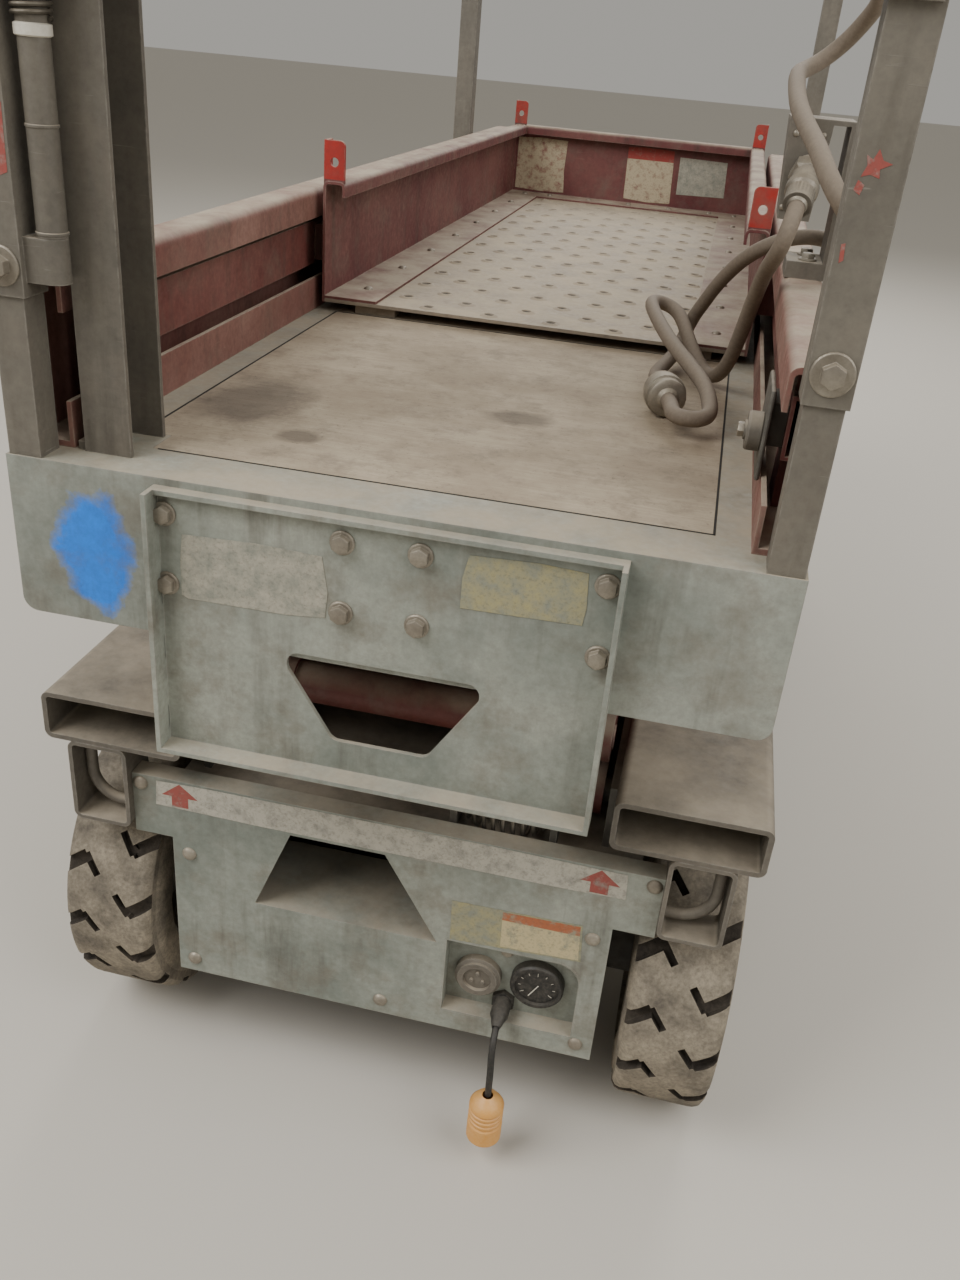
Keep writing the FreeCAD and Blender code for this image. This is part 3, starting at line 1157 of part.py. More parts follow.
def cable_connector():
    """Round connector that lies on the deck, joining the two cables."""
    return rod_between(V(*CONNECTOR_FRONT, CONNECTOR_Z), V(*CONNECTOR_BACK, CONNECTOR_Z), CONNECTOR_RADIUS)


CABLE_A = [(318, 392, 1074), (315, 368, 1062), (309, 361, 1036), (304, 384, 1018), (300, 420, 1001),
           (295, 466, 962), (290, 501, 921), (283, 537, 874), (272, 567, 843), (256, 583, 841),
           (243, 600, 852), (226, 634, 872), (213, 670, 889), (201, 686, 897), (184, 687, 903),
           (172, 674, 906), (171, 646, 907), (180, 604, 903), (195, 556, 896), (213, 508, 888),
           (236, 460, 880), (258, 412, 870), (266, 378, 861), (268, 352, 854), (257, 339, 851),
           (240, 337, 851), (227, 348, 851), (224.5, 376.7, CONNECTOR_Z), (*CONNECTOR_FRONT, CONNECTOR_Z)]
CABLE_B = [(296, 150, 1655), (296, 150, 1590), (299, 157, 1520), (305, 174, 1450), (313, 206, 1390),
           (326, 262, 1346), (342, 340, 1310), (356, 420, 1284), (366, 486, 1268), (360, 528, 1252),
           (344, 552, 1228), (322, 556, 1207), (304, 535, 1197), (297, 498, 1194), (296, 440, 1184),
           (299, 380, 1168), (309, 322, 1152), (320, 270, 1138), (328, 232, 1124), (338, 207, 1109),
           (352, 202, 1093), (366, 220, 1079), (376, 260, 1068), (389, 340, 1050), (395, 420, 1036),
           (391, 490, 1027), (377, 536, 1024), (351, 556, 1025), (322, 557, 1019), (300, 568, 1006),
           (283, 592, 990), (267, 622, 968), (251, 648, 941), (238, 672, 912), (227, 690, 888),
           (219, 684, 863), (213, 656, 848), (205, 610, 844), (197, 560, 844), (195, 520, 847),
           (199, 483.8, CONNECTOR_Z), (*CONNECTOR_BACK, CONNECTOR_Z)]
PIGTAIL = [(GLAND_X, GLAND_Y, GLAND_Z), (GLAND_X, 42, GLAND_Z), (148, 24, 168), (150, 20, 138),
           (150, 20, PLUG_Z[1])]


def pigtail_plug():
    """The charger cord's plug."""
    body = rod_z(PLUG_Z[0], PLUG_Z[1], PIGTAIL[-1][0], PIGTAIL[-1][1], PLUG_RADIUS)
    return body.makeChamfer(PLUG_BEVEL, [e for e in body.Edges if e.Curve.TypeId == "Part::GeomCircle"])


def build():
    """Every piece by its node's name."""
    nodes = {
        "chassis_frame": chassis_frame(),
        "chassis_rear_cover": chassis_rear_cover(),
        "chassis_front_cover": end_cover(FRONT_COVER_Y, FRONT_COVER_Y + COVER_SHEET),
        "charger_panel": charger_panel(),
        "charger_inlet": panel_fitting(INLET_X, INLET_Z, INLET_RADIUS),
        "battery_gauge": panel_fitting(GAUGE_X, GAUGE_Z, GAUGE_RADIUS),
        "fork_pockets": fork_pockets(),
        "tie_downs": tie_downs(),
        "coil": coil(),
        "coil_lugs": coil_lugs(),
        "front_axle": front_axle(),
        "tie_rod": tie_rod(),
        "tray_hinges": tray_hinges(),
        "battery_tray": tray_shell(-1),
        "batteries": batteries(),
        "hydraulic_tray": tray_shell(1),
        "hydraulic_unit": hydraulic_unit(),
        "lift_barrel": lift_barrel(),
        "lift_rod": lift_rod(),
        "platform_frame": platform_frame(),
        "deck_plywood": deck_plywood(),
        "step_plate": step_plate(),
        "gate_frame": gate_frame(),
        "extension_deck": extension_deck(),
        "toe_boards": toe_boards(),
        "control_box": control_box(),
        "cable_bracket": cable_bracket(),
        "cable_connector": cable_connector(),
        "bracket_cable": cord(CABLE_A, CABLE_RADIUS, "bracket_cable"),
        "control_cable": cord(CABLE_B, CABLE_RADIUS, "control_cable"),
        "pigtail_cord": cord(PIGTAIL, PIGTAIL_RADIUS, "pigtail_cord"),
        "pigtail_plug": pigtail_plug(),
    }
    for side, word in ((-1, "left"), (1, "right")):
        nodes["knuckle_" + word] = knuckle(side)
        nodes["side_channel_" + word] = side_channel(side)
        nodes["guard_rail_" + word] = guard_rail(side)
        nodes["sliding_beam_" + word] = sliding_beam(side)
        for axle_y, end in ((AXLE_REAR_Y, "rear"), (AXLE_FRONT_Y, "front")):
            nodes["tyre_" + end + "_" + word] = tyre(side, axle_y)
            nodes["rim_" + end + "_" + word] = rim(side, axle_y)
    for level in range(1, LEVELS + 1):
        nodes["outer_arms_" + str(level)] = outer_arms(level)
        nodes["inner_arms_" + str(level)] = inner_arms(level)
    return nodes


def main():
    """Write each piece as a STEP file, shifted to the middle of the length."""
    os.makedirs("parts", exist_ok=True)
    for name, shape in sorted(build().items()):
        shape.translate(V(0, -MIDDLE_Y, 0))
        shape.exportStep("parts/" + name + ".step")
        box_ = shape.BoundBox
        print(name, "solids", len(shape.Solids), "valid", shape.isValid(),
              "litres", round(shape.Volume / 1e6, 2), "y", round(box_.YMin), round(box_.YMax),
              "z", round(box_.ZMin, 1), round(box_.ZMax, 1))


main()
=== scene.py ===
"""Visual model of a worn slab scissor lift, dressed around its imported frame.

Lengths in the code are millimetres unless a name says otherwise, measured as on the
machine: X to its right, Y forward from the skirt's rear face, Z up from the floor.
"""

import logging
import math
from dataclasses import dataclass
from enum import Enum
from typing import Sequence

import bmesh
import bpy
from mathutils import Matrix, Vector


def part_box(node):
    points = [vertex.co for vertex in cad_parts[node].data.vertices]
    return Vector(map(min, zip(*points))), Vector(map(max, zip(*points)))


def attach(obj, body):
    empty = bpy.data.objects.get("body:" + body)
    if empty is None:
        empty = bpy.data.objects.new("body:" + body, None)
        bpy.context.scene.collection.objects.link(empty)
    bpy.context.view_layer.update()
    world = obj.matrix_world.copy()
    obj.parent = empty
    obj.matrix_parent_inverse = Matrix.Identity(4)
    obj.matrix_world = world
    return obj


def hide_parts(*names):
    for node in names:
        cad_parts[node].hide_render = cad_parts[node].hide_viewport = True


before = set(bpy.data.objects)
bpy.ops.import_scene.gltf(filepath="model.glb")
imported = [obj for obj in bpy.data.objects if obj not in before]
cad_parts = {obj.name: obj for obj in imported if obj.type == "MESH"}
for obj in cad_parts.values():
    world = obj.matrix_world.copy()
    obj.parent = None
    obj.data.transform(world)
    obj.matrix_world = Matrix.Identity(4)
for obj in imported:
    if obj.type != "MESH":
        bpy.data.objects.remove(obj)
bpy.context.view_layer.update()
MM = 0.001
SKIRT_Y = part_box("platform_frame")[0].y
NO_HEAD = 9999.0  # a label with no coloured head
HEXAGON = 1.732  # a hexagon's width across flats over its corner radius
LOG = logging.getLogger("scissor_lift")

Point = tuple[float, float, float]
Outline = Sequence[tuple[float, float]]
Socket = bpy.types.NodeSocket


def place(x: float, y: float, z: float) -> Vector:
    """Turn a place in millimetres on the machine into the frame's metres."""
    return Vector((x * MM, y * MM + SKIRT_Y, z * MM))


def linear(hex_colour: str) -> tuple[float, float, float, float]:
    """Turn an sRGB hex colour into linear RGBA.

    Args:
        hex_colour: Six hex digits, with or without a leading hash.

    Returns:
        Linear red, green, blue and an alpha of one.
    """
    digits = hex_colour.lstrip("#")
    channels = [int(digits[i:i + 2], 16) / 255 for i in (0, 2, 4)]
    values = [c / 12.92 if c <= 0.04045 else ((c + 0.055) / 1.055) ** 2.4 for c in channels]
    return (values[0], values[1], values[2], 1.0)


def per_metre(size_mm: float) -> float:
    """Scale of a pattern whose features are size_mm across, on Object coordinates."""
    return 1.0 / (size_mm * MM)


def add_node(tree: bpy.types.NodeTree, kind: str, inputs: dict | None = None, **settings) -> bpy.types.Node:
    """Add one node with its settings and links.

    Args:
        tree: The tree that gets the node.
        kind: The node's type name without its Shader prefix.
        inputs: Socket names or numbers, with a value or an output socket to link from.
        **settings: The node's own properties.

    Returns:
        The new node.
    """
    node = tree.nodes.new("ShaderNode" + kind)
    for key, value in settings.items():
        setattr(node, key, value)
    for socket, value in (inputs or {}).items():
        if isinstance(value, Socket):
            tree.links.new(value, node.inputs[socket])
        else:
            node.inputs[socket].default_value = value
    return node


class Graph:
    """A material's tree with the patterns that the finishes share."""

    MIX_A, MIX_B, MIX_OUT = 6, 7, 2

    def __init__(self, name: str) -> None:
        """Start an empty material."""
        self.material = bpy.data.materials.new(name)
        self.material.use_nodes = True
        self.tree = self.material.node_tree
        self.tree.nodes.clear()
        self.where = add_node(self.tree, "TexCoord").outputs["Object"]
        self.normal = add_node(self.tree, "NewGeometry").outputs["Normal"]

    def stretched(self, x: float, y: float, z: float) -> Socket:
        """Object coordinates stretched for streaks and grain."""
        return add_node(self.tree, "Mapping", {"Vector": self.where, "Scale": (x, y, z)}).outputs[0]

    def noise(self, size_mm: float, detail: float = 4.0, rough: float = 0.55,
              vector: Socket | None = None, distortion: float = 0.0) -> Socket:
        """Noise whose features are size_mm across."""
        return add_node(self.tree, "TexNoise", {"Vector": vector or self.where, "Scale": per_metre(size_mm),
                                                "Detail": detail, "Roughness": rough,
                                                "Distortion": distortion}).outputs["Fac"]

    def ramp(self, value: Socket, low: float, high: float) -> Socket:
        """Map low..high of a value to 0..1, clamped."""
        return add_node(self.tree, "MapRange", {"Value": value, "From Min": low, "From Max": high}).outputs[0]

    def maths(self, operation: str, a: object, b: object = 0.0, clamp: bool = True) -> Socket:
        """One Math node, clamped to 0..1 unless told otherwise."""
        return add_node(self.tree, "Math", {0: a, 1: b}, operation=operation, use_clamp=clamp).outputs[0]

    def mix(self, factor: object, a: object, b: object) -> Socket:
        """Mix two colours."""
        node = add_node(self.tree, "Mix", {0: factor, self.MIX_A: a, self.MIX_B: b}, data_type="RGBA")
        return node.outputs[self.MIX_OUT]

    def veil(self, colour: object, hex_colour: str, share: float, amount: Socket) -> Socket:
        """Lay a colour over another by an amount, up to a share."""
        return self.mix(self.maths("MULTIPLY", amount, share), colour, linear(hex_colour))

    def dust_amount(self, low: float, size_mm: float, settle: tuple[float, float], share: float) -> Socket:
        """How much dust lies on what faces up, patchy at size_mm."""
        up = self.ramp(self.axis(self.normal, "Z"), low, 0.95)
        settled = self.ramp(self.noise(size_mm, 7, 0.65), *settle)
        return self.maths("MULTIPLY", self.maths("MULTIPLY", up, settled), share)

    def roughness(self, fine: Socket, low: float, high: float, dusty: Socket, dulled: float) -> Socket:
        """Roughness between two values by a fine pattern, and higher under dust."""
        rough = add_node(self.tree, "MapRange", {"Value": fine, "To Min": low, "To Max": high}).outputs[0]
        return self.maths("ADD", rough, self.maths("MULTIPLY", dusty, dulled))

    def reach(self, middle: Point, half: Sequence[float | None], ragged_mm: float,
              ragged: tuple[float, float, float]) -> Socket:
        """Distance from a place in shares of a blotch's half sizes, with a ragged outline.

        Args:
            middle: The blotch's middle.
            half: Its half sizes, with None along an axis that it fills.
            ragged_mm: Size of the raggedness.
            ragged: The noise's detail and roughness, and how far it shifts the outline.

        Returns:
            The ragged distance.
        """
        inverse = tuple(1 / (size * MM) if size else 0 for size in half)
        distance = self.where
        for operation, other in (("SUBTRACT", tuple(place(*middle))), ("MULTIPLY", inverse)):
            moved = add_node(self.tree, "VectorMath", {0: distance, 1: other}, operation=operation)
            distance = moved.outputs[0]
        distance = add_node(self.tree, "VectorMath", {0: distance}, operation="LENGTH").outputs["Value"]
        detail, rough, shift = ragged
        edge = self.maths("MULTIPLY", self.noise(ragged_mm, detail, rough), shift, clamp=False)
        return self.maths("ADD", distance, edge, clamp=False)

    def axis(self, vector: Socket, name: str) -> Socket:
        """One component of a vector."""
        return add_node(self.tree, "SeparateXYZ", {0: vector}).outputs[name]

    def soft_normal(self, radius_mm: float) -> Socket:
        """The normal with its edges rounded by radius_mm."""
        return add_node(self.tree, "Bevel", {"Radius": radius_mm * MM}, samples=4).outputs[0]

    def edges(self, radius_mm: float) -> Socket:
        """One at worn edges and nought on flats."""
        dot = add_node(self.tree, "VectorMath", {0: self.soft_normal(radius_mm), 1: self.normal},
                       operation="DOT_PRODUCT").outputs["Value"]
        return self.ramp(dot, 0.995, 0.80)

    def finish(self, colour: object, roughness: object, bump: Socket | None = None,
               bump_mm: float = 0.2, edge_mm: float = 1.0, **sockets: object) -> bpy.types.Material:
        """Close the tree with one Principled shader.

        Args:
            colour: Base colour, a value or a socket.
            roughness: Roughness, a value or a socket.
            bump: Height of the surface's relief, if any.
            bump_mm: Depth of the relief.
            edge_mm: Radius that the edges seem to have, or nought for true edges.
            **sockets: Other sockets of the shader, with underscores for spaces.

        Returns:
            The finished material.
        """
        inputs = {"Base Color": colour, "Roughness": roughness}
        inputs.update({key.replace("_", " "): value for key, value in sockets.items()})
        normal = self.soft_normal(edge_mm) if edge_mm else None
        if bump is not None:
            settings = {"Height": bump, "Distance": bump_mm * MM, "Strength": 1.0}
            if normal is not None:
                settings["Normal"] = normal
            normal = add_node(self.tree, "Bump", settings).outputs[0]
        if normal is not None:
            inputs["Normal"] = normal
        shader = add_node(self.tree, "BsdfPrincipled", inputs)
        add_node(self.tree, "OutputMaterial", {"Surface": shader.outputs[0]})
        return self.material


@dataclass(frozen=True)
class WornPaint:
    """Sprayed enamel on mild steel: mottled, streaked with grime, dusty on top and rubbed at edges."""

    name: str
    paint: str
    faded: str
    dust: str = "#b0a38e"
    grime: str = "#3a332c"
    bare: str = "#9a948a"
    dust_share: float = 0.75
    grime_share: float = 0.45
    scuff_share: float = 0.35
    blot: str = "#6f665a"
    blot_share: float = 0.4
    patch: tuple[str, Point, Point] | None = None
    upper: tuple[str, float] | None = None

    def material(self) -> bpy.types.Material:
        """Build the finish."""
        g = Graph(self.name)
        broad = g.ramp(g.noise(180, 6, 0.65), 0.36, 0.66)
        colour = g.mix(broad, linear(self.paint), linear(self.faded))
        if self.upper:
            hue, from_mm = self.upper
            above = g.ramp(g.axis(g.where, "Z"), from_mm * MM, (from_mm + 1) * MM)
            colour = g.mix(above, colour, linear(hue))
        if self.patch:
            hue, middle, half = self.patch
            reach = g.reach(middle, half, 26, (5, 0.65, 0.8))
            colour = g.mix(g.ramp(reach, 1.45, 1.2), colour, linear(hue))
        fine = g.ramp(g.noise(9, 6, 0.7), 0.3, 0.75)
        colour = g.veil(colour, self.grime, 0.35, fine)
        colour = g.veil(colour, self.blot, self.blot_share, g.ramp(g.noise(75, 8, 0.7), 0.5, 0.66))
        streak = g.ramp(g.noise(22, 5, 0.6, g.stretched(1, 1, 0.09)), 0.5, 0.78)
        blotch = g.maths("ADD", g.ramp(g.noise(130, 5, 0.6), 0.45, 0.7), 0.25)
        colour = g.veil(colour, self.grime, self.grime_share, g.maths("MULTIPLY", streak, blotch))
        scratch = g.ramp(g.noise(3.0, 3, 0.6, g.stretched(0.05, 0.05, 1.0), 0.6), 0.67, 0.72)
        where = g.ramp(g.noise(60, 4, 0.6), 0.5, 0.66)
        colour = g.veil(colour, self.bare, self.scuff_share, g.maths("MULTIPLY", scratch, where))
        rub = g.maths("MULTIPLY", g.edges(2.5), g.ramp(g.noise(14, 5, 0.7), 0.38, 0.6))
        colour = g.veil(colour, self.bare, 0.75, rub)
        dusty = g.dust_amount(0.25, 70, (0.2, 0.62), self.dust_share)
        colour = g.mix(dusty, colour, linear(self.dust))
        rough = g.roughness(fine, 0.42, 0.78, dusty, 0.3)
        relief = g.maths("ADD", g.maths("MULTIPLY", fine, 0.5), g.maths("MULTIPLY", scratch, 0.5))
        return g.finish(colour, rough, relief, 0.12, 1.2)


@dataclass(frozen=True)
class TreadRubber:
    """Moulded solid rubber, grey with ground-in dust and paler on the lugs; a darker copy paints the shade in
    the grooves.
    """

    name: str = "tread_compound"
    rubber: str = "#6e675c"
    dust: str = "#a59a87"
    deep: str = "#3a342d"

    def material(self) -> bpy.types.Material:
        """Build the finish."""
        g = Graph(self.name)
        broad = g.ramp(g.noise(45, 6, 0.65), 0.35, 0.65)
        colour = g.mix(broad, linear(self.rubber), linear(self.dust))
        fine = g.ramp(g.noise(5, 6, 0.7), 0.35, 0.7)
        colour = g.veil(colour, self.deep, 0.5, fine)
        colour = g.veil(colour, self.dust, 0.5, g.edges(3.0))
        return g.finish(colour, 0.88, fine, 0.4, 2.0, Specular_IOR_Level=0.3)


@dataclass(frozen=True)
class WornPlywood:
    """Resin-faced plywood, weathered grey-brown, with open grain along X and dark oil stains."""

    name: str = "worn_plywood"
    pale: str = "#b9aa92"
    brown: str = "#8c7c67"
    dark: str = "#4d4237"
    dirt: str = "#6b5f52"
    top: float = 827.0
    stains: tuple[tuple[float, float, float, float], ...] = ((-226, 262, 66, 105), (-140, 165, 26, 22),
                                                            (60, 330, 45, 30))

    def material(self) -> bpy.types.Material:
        """Build the finish."""
        g = Graph(self.name)
        grain = g.noise(3.2, 6, 0.7, g.stretched(0.05, 1.0, 1.0), 0.4)
        colour = g.veil(linear(self.pale), self.brown, 0.55, g.ramp(grain, 0.35, 0.75))
        colour = g.veil(colour, self.brown, 0.65, g.ramp(g.noise(120, 7, 0.65), 0.38, 0.62))
        colour = g.veil(colour, self.dirt, 0.5, g.ramp(g.noise(38, 8, 0.75), 0.5, 0.68))
        for x, y, half_x, half_y in self.stains:
            reach = g.reach((x, y, self.top), (half_x, half_y, None), 45, (6, 0.7, 1.1))
            colour = g.veil(colour, self.dark, 0.62, g.ramp(reach, 1.6, 1.1))
        colour = g.veil(colour, self.dark, 0.6, g.ramp(g.noise(6, 5, 0.75), 0.60, 0.70))
        return g.finish(colour, 0.82, g.ramp(grain, 0.3, 0.7), 0.35, 1.0)


@dataclass(frozen=True)
class WornMetal:
    """Bare or plated steel dulled by handling, with dust on what faces up."""

    name: str
    metal: str = "#8d877c"
    dull: str = "#6a6258"
    dust: str = "#aa9d88"
    metallic: float = 0.75
    roughness: float = 0.5
    dust_share: float = 0.6

    def material(self) -> bpy.types.Material:
        """Build the finish."""
        g = Graph(self.name)
        colour = g.mix(g.ramp(g.noise(40, 6, 0.65), 0.36, 0.66), linear(self.metal), linear(self.dull))
        fine = g.ramp(g.noise(3, 5, 0.7), 0.35, 0.7)
        colour = g.veil(colour, self.dull, 0.3, fine)
        dusty = g.dust_amount(0.2, 55, (0.25, 0.6), self.dust_share)
        colour = g.mix(dusty, colour, linear(self.dust))
        rough = g.roughness(fine, self.roughness - 0.1, self.roughness + 0.15, dusty, 0.35)
        return g.finish(colour, rough, fine, 0.08, 0.8, Metallic=self.metallic)


@dataclass(frozen=True)
class Moulding:
    """Moulded plastic or rubber skin with light dust."""

    name: str
    plastic: str
    dust: str = "#a49a8a"
    roughness: float = 0.5
    dust_share: float = 0.45

    def material(self) -> bpy.types.Material:
        """Build the finish."""
        g = Graph(self.name)
        fine = g.ramp(g.noise(5, 6, 0.7), 0.4, 0.72)
        colour = g.veil(linear(self.plastic), self.dust, self.dust_share, fine)
        colour = g.veil(colour, self.dust, self.dust_share, g.ramp(g.axis(g.normal, "Z"), 0.3, 1.0))
        return g.finish(colour, self.roughness, fine, 0.08, 0.6)


@dataclass(frozen=True)
class FadedPrint:
    """A printed film label, bleached, torn and rubbed so that the paint shows through."""

    name: str
    film: str
    head: str
    worn: str
    head_from_mm: float
    loss: float = 0.5
    dirt: str = "#4a443b"

    def material(self) -> bpy.types.Material:
        """Build the finish."""
        g = Graph(self.name)
        height = g.axis(g.where, "Z")
        edge = g.ramp(height, (self.head_from_mm - 1.0) * MM, self.head_from_mm * MM)
        colour = g.mix(edge, linear(self.film), linear(self.head))
        smudge = g.ramp(g.noise(16, 7, 0.7), 0.62 - 0.3 * self.loss, 0.66)
        colour = g.mix(smudge, colour, linear(self.worn))
        fine = g.ramp(g.noise(3.5, 5, 0.7), 0.5, 0.75)
        colour = g.veil(colour, self.dirt, 0.5, fine)
        return g.finish(colour, 0.6, smudge, 0.15, 0.3)


class Finish(Enum):
    """The machine's finishes, each built once."""

    # Alkyd enamel sprayed on sheet steel: satin, chalked, dull brown where hands and boots have been.
    GREY_GREEN = WornPaint("grey_green_enamel", "#7b8279", "#a4a79b", grime="#4a4238", grime_share=0.9,
                           scuff_share=0.6, blot="#706759", blot_share=0.6)
    # The same enamel on the skirt, dustier on its ledge, with a blotch of blue marker spray.
    SKIRT = WornPaint("skirt_enamel", "#7e847b", "#a4a79c", grime="#4a4238", grime_share=0.75,
                      scuff_share=0.6, blot="#706759", blot_share=0.5, dust="#a79a84", dust_share=0.85,
                      patch=("#0284f8", (-285, -16, 741), (45, 40, 68)))
    # Grey enamels on folded plate, rail tube and the chassis, from dull mid grey to nearly black.
    DARK_GREY = WornPaint("dark_grey_enamel", "#5f5a51", "#7a7367")
    POST_GREY = WornPaint("post_enamel", "#625d54", "#787266", grime_share=0.7, scuff_share=0.5)
    CHASSIS_GREY = WornPaint("chassis_enamel", "#4c4a44", "#605c54", dust_share=0.6)
    # Red oxide enamels, browned by dirt and pale with dust on every ledge; the stubs are brighter.
    MAROON = WornPaint("maroon_enamel", "#6c302d", "#8a5850", bare="#a39384", grime_share=0.85)
    RAIL_RED = WornPaint("rail_enamel", "#7f4e46", "#9c7468", bare="#a89a8a", grime_share=0.8,
                         dust_share=0.97)
    TOE_RED = WornPaint("toe_board_enamel", "#652c2e", "#7d4d47", bare="#a39384", grime_share=0.9,
                        dust_share=0.97, upper=("#b02a22", 1007))
    STACK_RED = WornPaint("stack_enamel", "#5e2a26", "#713a33", grime_share=0.7)
    # Pressed deck steel whose paint is lost under trodden dust.
    DECK_STEEL = WornPaint("deck_steel_enamel", "#8b8071", "#a39580", dust="#b5a68e", dust_share=0.85)
    # Solid rubber, pale with dust on the lugs; the cut grooves take a nearly black copy as painted shade.
    TREAD = TreadRubber()
    GROOVE = TreadRubber("groove_shade_rubber", "#2f2a25", "#574f45", "#1d1a17")
    RIM = WornPaint("rim_enamel", "#7d7a72", "#8d8a80")
    PLYWOOD = WornPlywood()
    # Zinc-plated steel gone dull, oiled spring steel, and hard chrome that still shines.
    BOLT = WornMetal("plated_bolt", "#a39c8e", "#7a7266", metallic=0.6, roughness=0.45)
    SPRING = WornMetal("spring_wire", "#6e695f", "#4b463e")
    ROD = WornMetal("chrome_rod", "#c9c9c6", "#a8a7a2", metallic=1.0, roughness=0.15, dust_share=0.2)
    # Extruded PVC and rubber jackets: matt, dusty brown on the deck and black at the charger.
    CABLE = Moulding("cable_sheath", "#74685a", "#8f8271", 0.75, 0.5)
    CORD = Moulding("cord_sheath", "#1c1b19", "#6d675d", 0.6, 0.25)
    # Moulded plastics: a yellow vinyl plug, black polypropylene and nylon, and pale nylon bushes.
    PLUG = Moulding("plug_moulding", "#d89a4a", "#e2c08c", 0.45, 0.3)
    BLACK = Moulding("black_moulding", "#1f1e1c", "#7a7368", 0.5, 0.3)
    BATTERY = Moulding("battery_moulding", "#232220", "#8b8376", 0.5)
    NYLON = Moulding("nylon_bush", "#d9d4c6", "#b5ab98", 0.4)
    STOP_RED = Moulding("stop_button_moulding", "#b3231c", "#b89a8c", 0.35, 0.2)
    # Printed vinyl films, bleached and rubbed through; their print is left off.
    WHITE_FILM = FadedPrint("white_label_film", "#aba595", "#aba595", "#85877b", NO_HEAD, 0.8)
    YELLOW_FILM = FadedPrint("yellow_label_film", "#a39a70", "#a39a70", "#85887a", NO_HEAD, 0.95)
    STRIP_FILM = FadedPrint("strip_film", "#b3aea0", "#b3aea0", "#8f8c82", NO_HEAD, 0.5)
    CREAM_FILM = FadedPrint("cream_label_film", "#b8aa8e", "#b8aa8e", "#8a5a50", NO_HEAD, 0.45)
    HEADED_FILM = FadedPrint("headed_label_film", "#bfb189", "#a8623f", "#8f8d78", 331, 0.35)
    RED_HEADED_FILM = FadedPrint("red_headed_label_film", "#b8aa8e", "#973a34", "#8a6a5c", 952, 0.35)
    RED_PRINT = FadedPrint("red_print", "#964a42", "#964a42", "#8f7f76", NO_HEAD, 0.4)
    # Painted shade, nearly black, for the deck's open grip holes and the board seams, where dirt is packed as
    # well.
    SHADOW = Moulding("painted_hole_and_seam_shade", "#15130f", "#3a342c", 0.9, 0.3)

    def material(self) -> bpy.types.Material:
        """The finish's material, built on first use."""
        return bpy.data.materials.get(self.value.name) or self.value.material()


def round_top(part: bmesh.types.BMesh, above: float, bevel: float) -> None:
    """Round the edges that lie above a height."""
    top = [e for e in part.edges if all(v.co.z > above for v in e.verts)]
    bmesh.ops.bevel(part, geom=top, offset=bevel, segments=2, profile=0.5, affect="EDGES", material=-1)


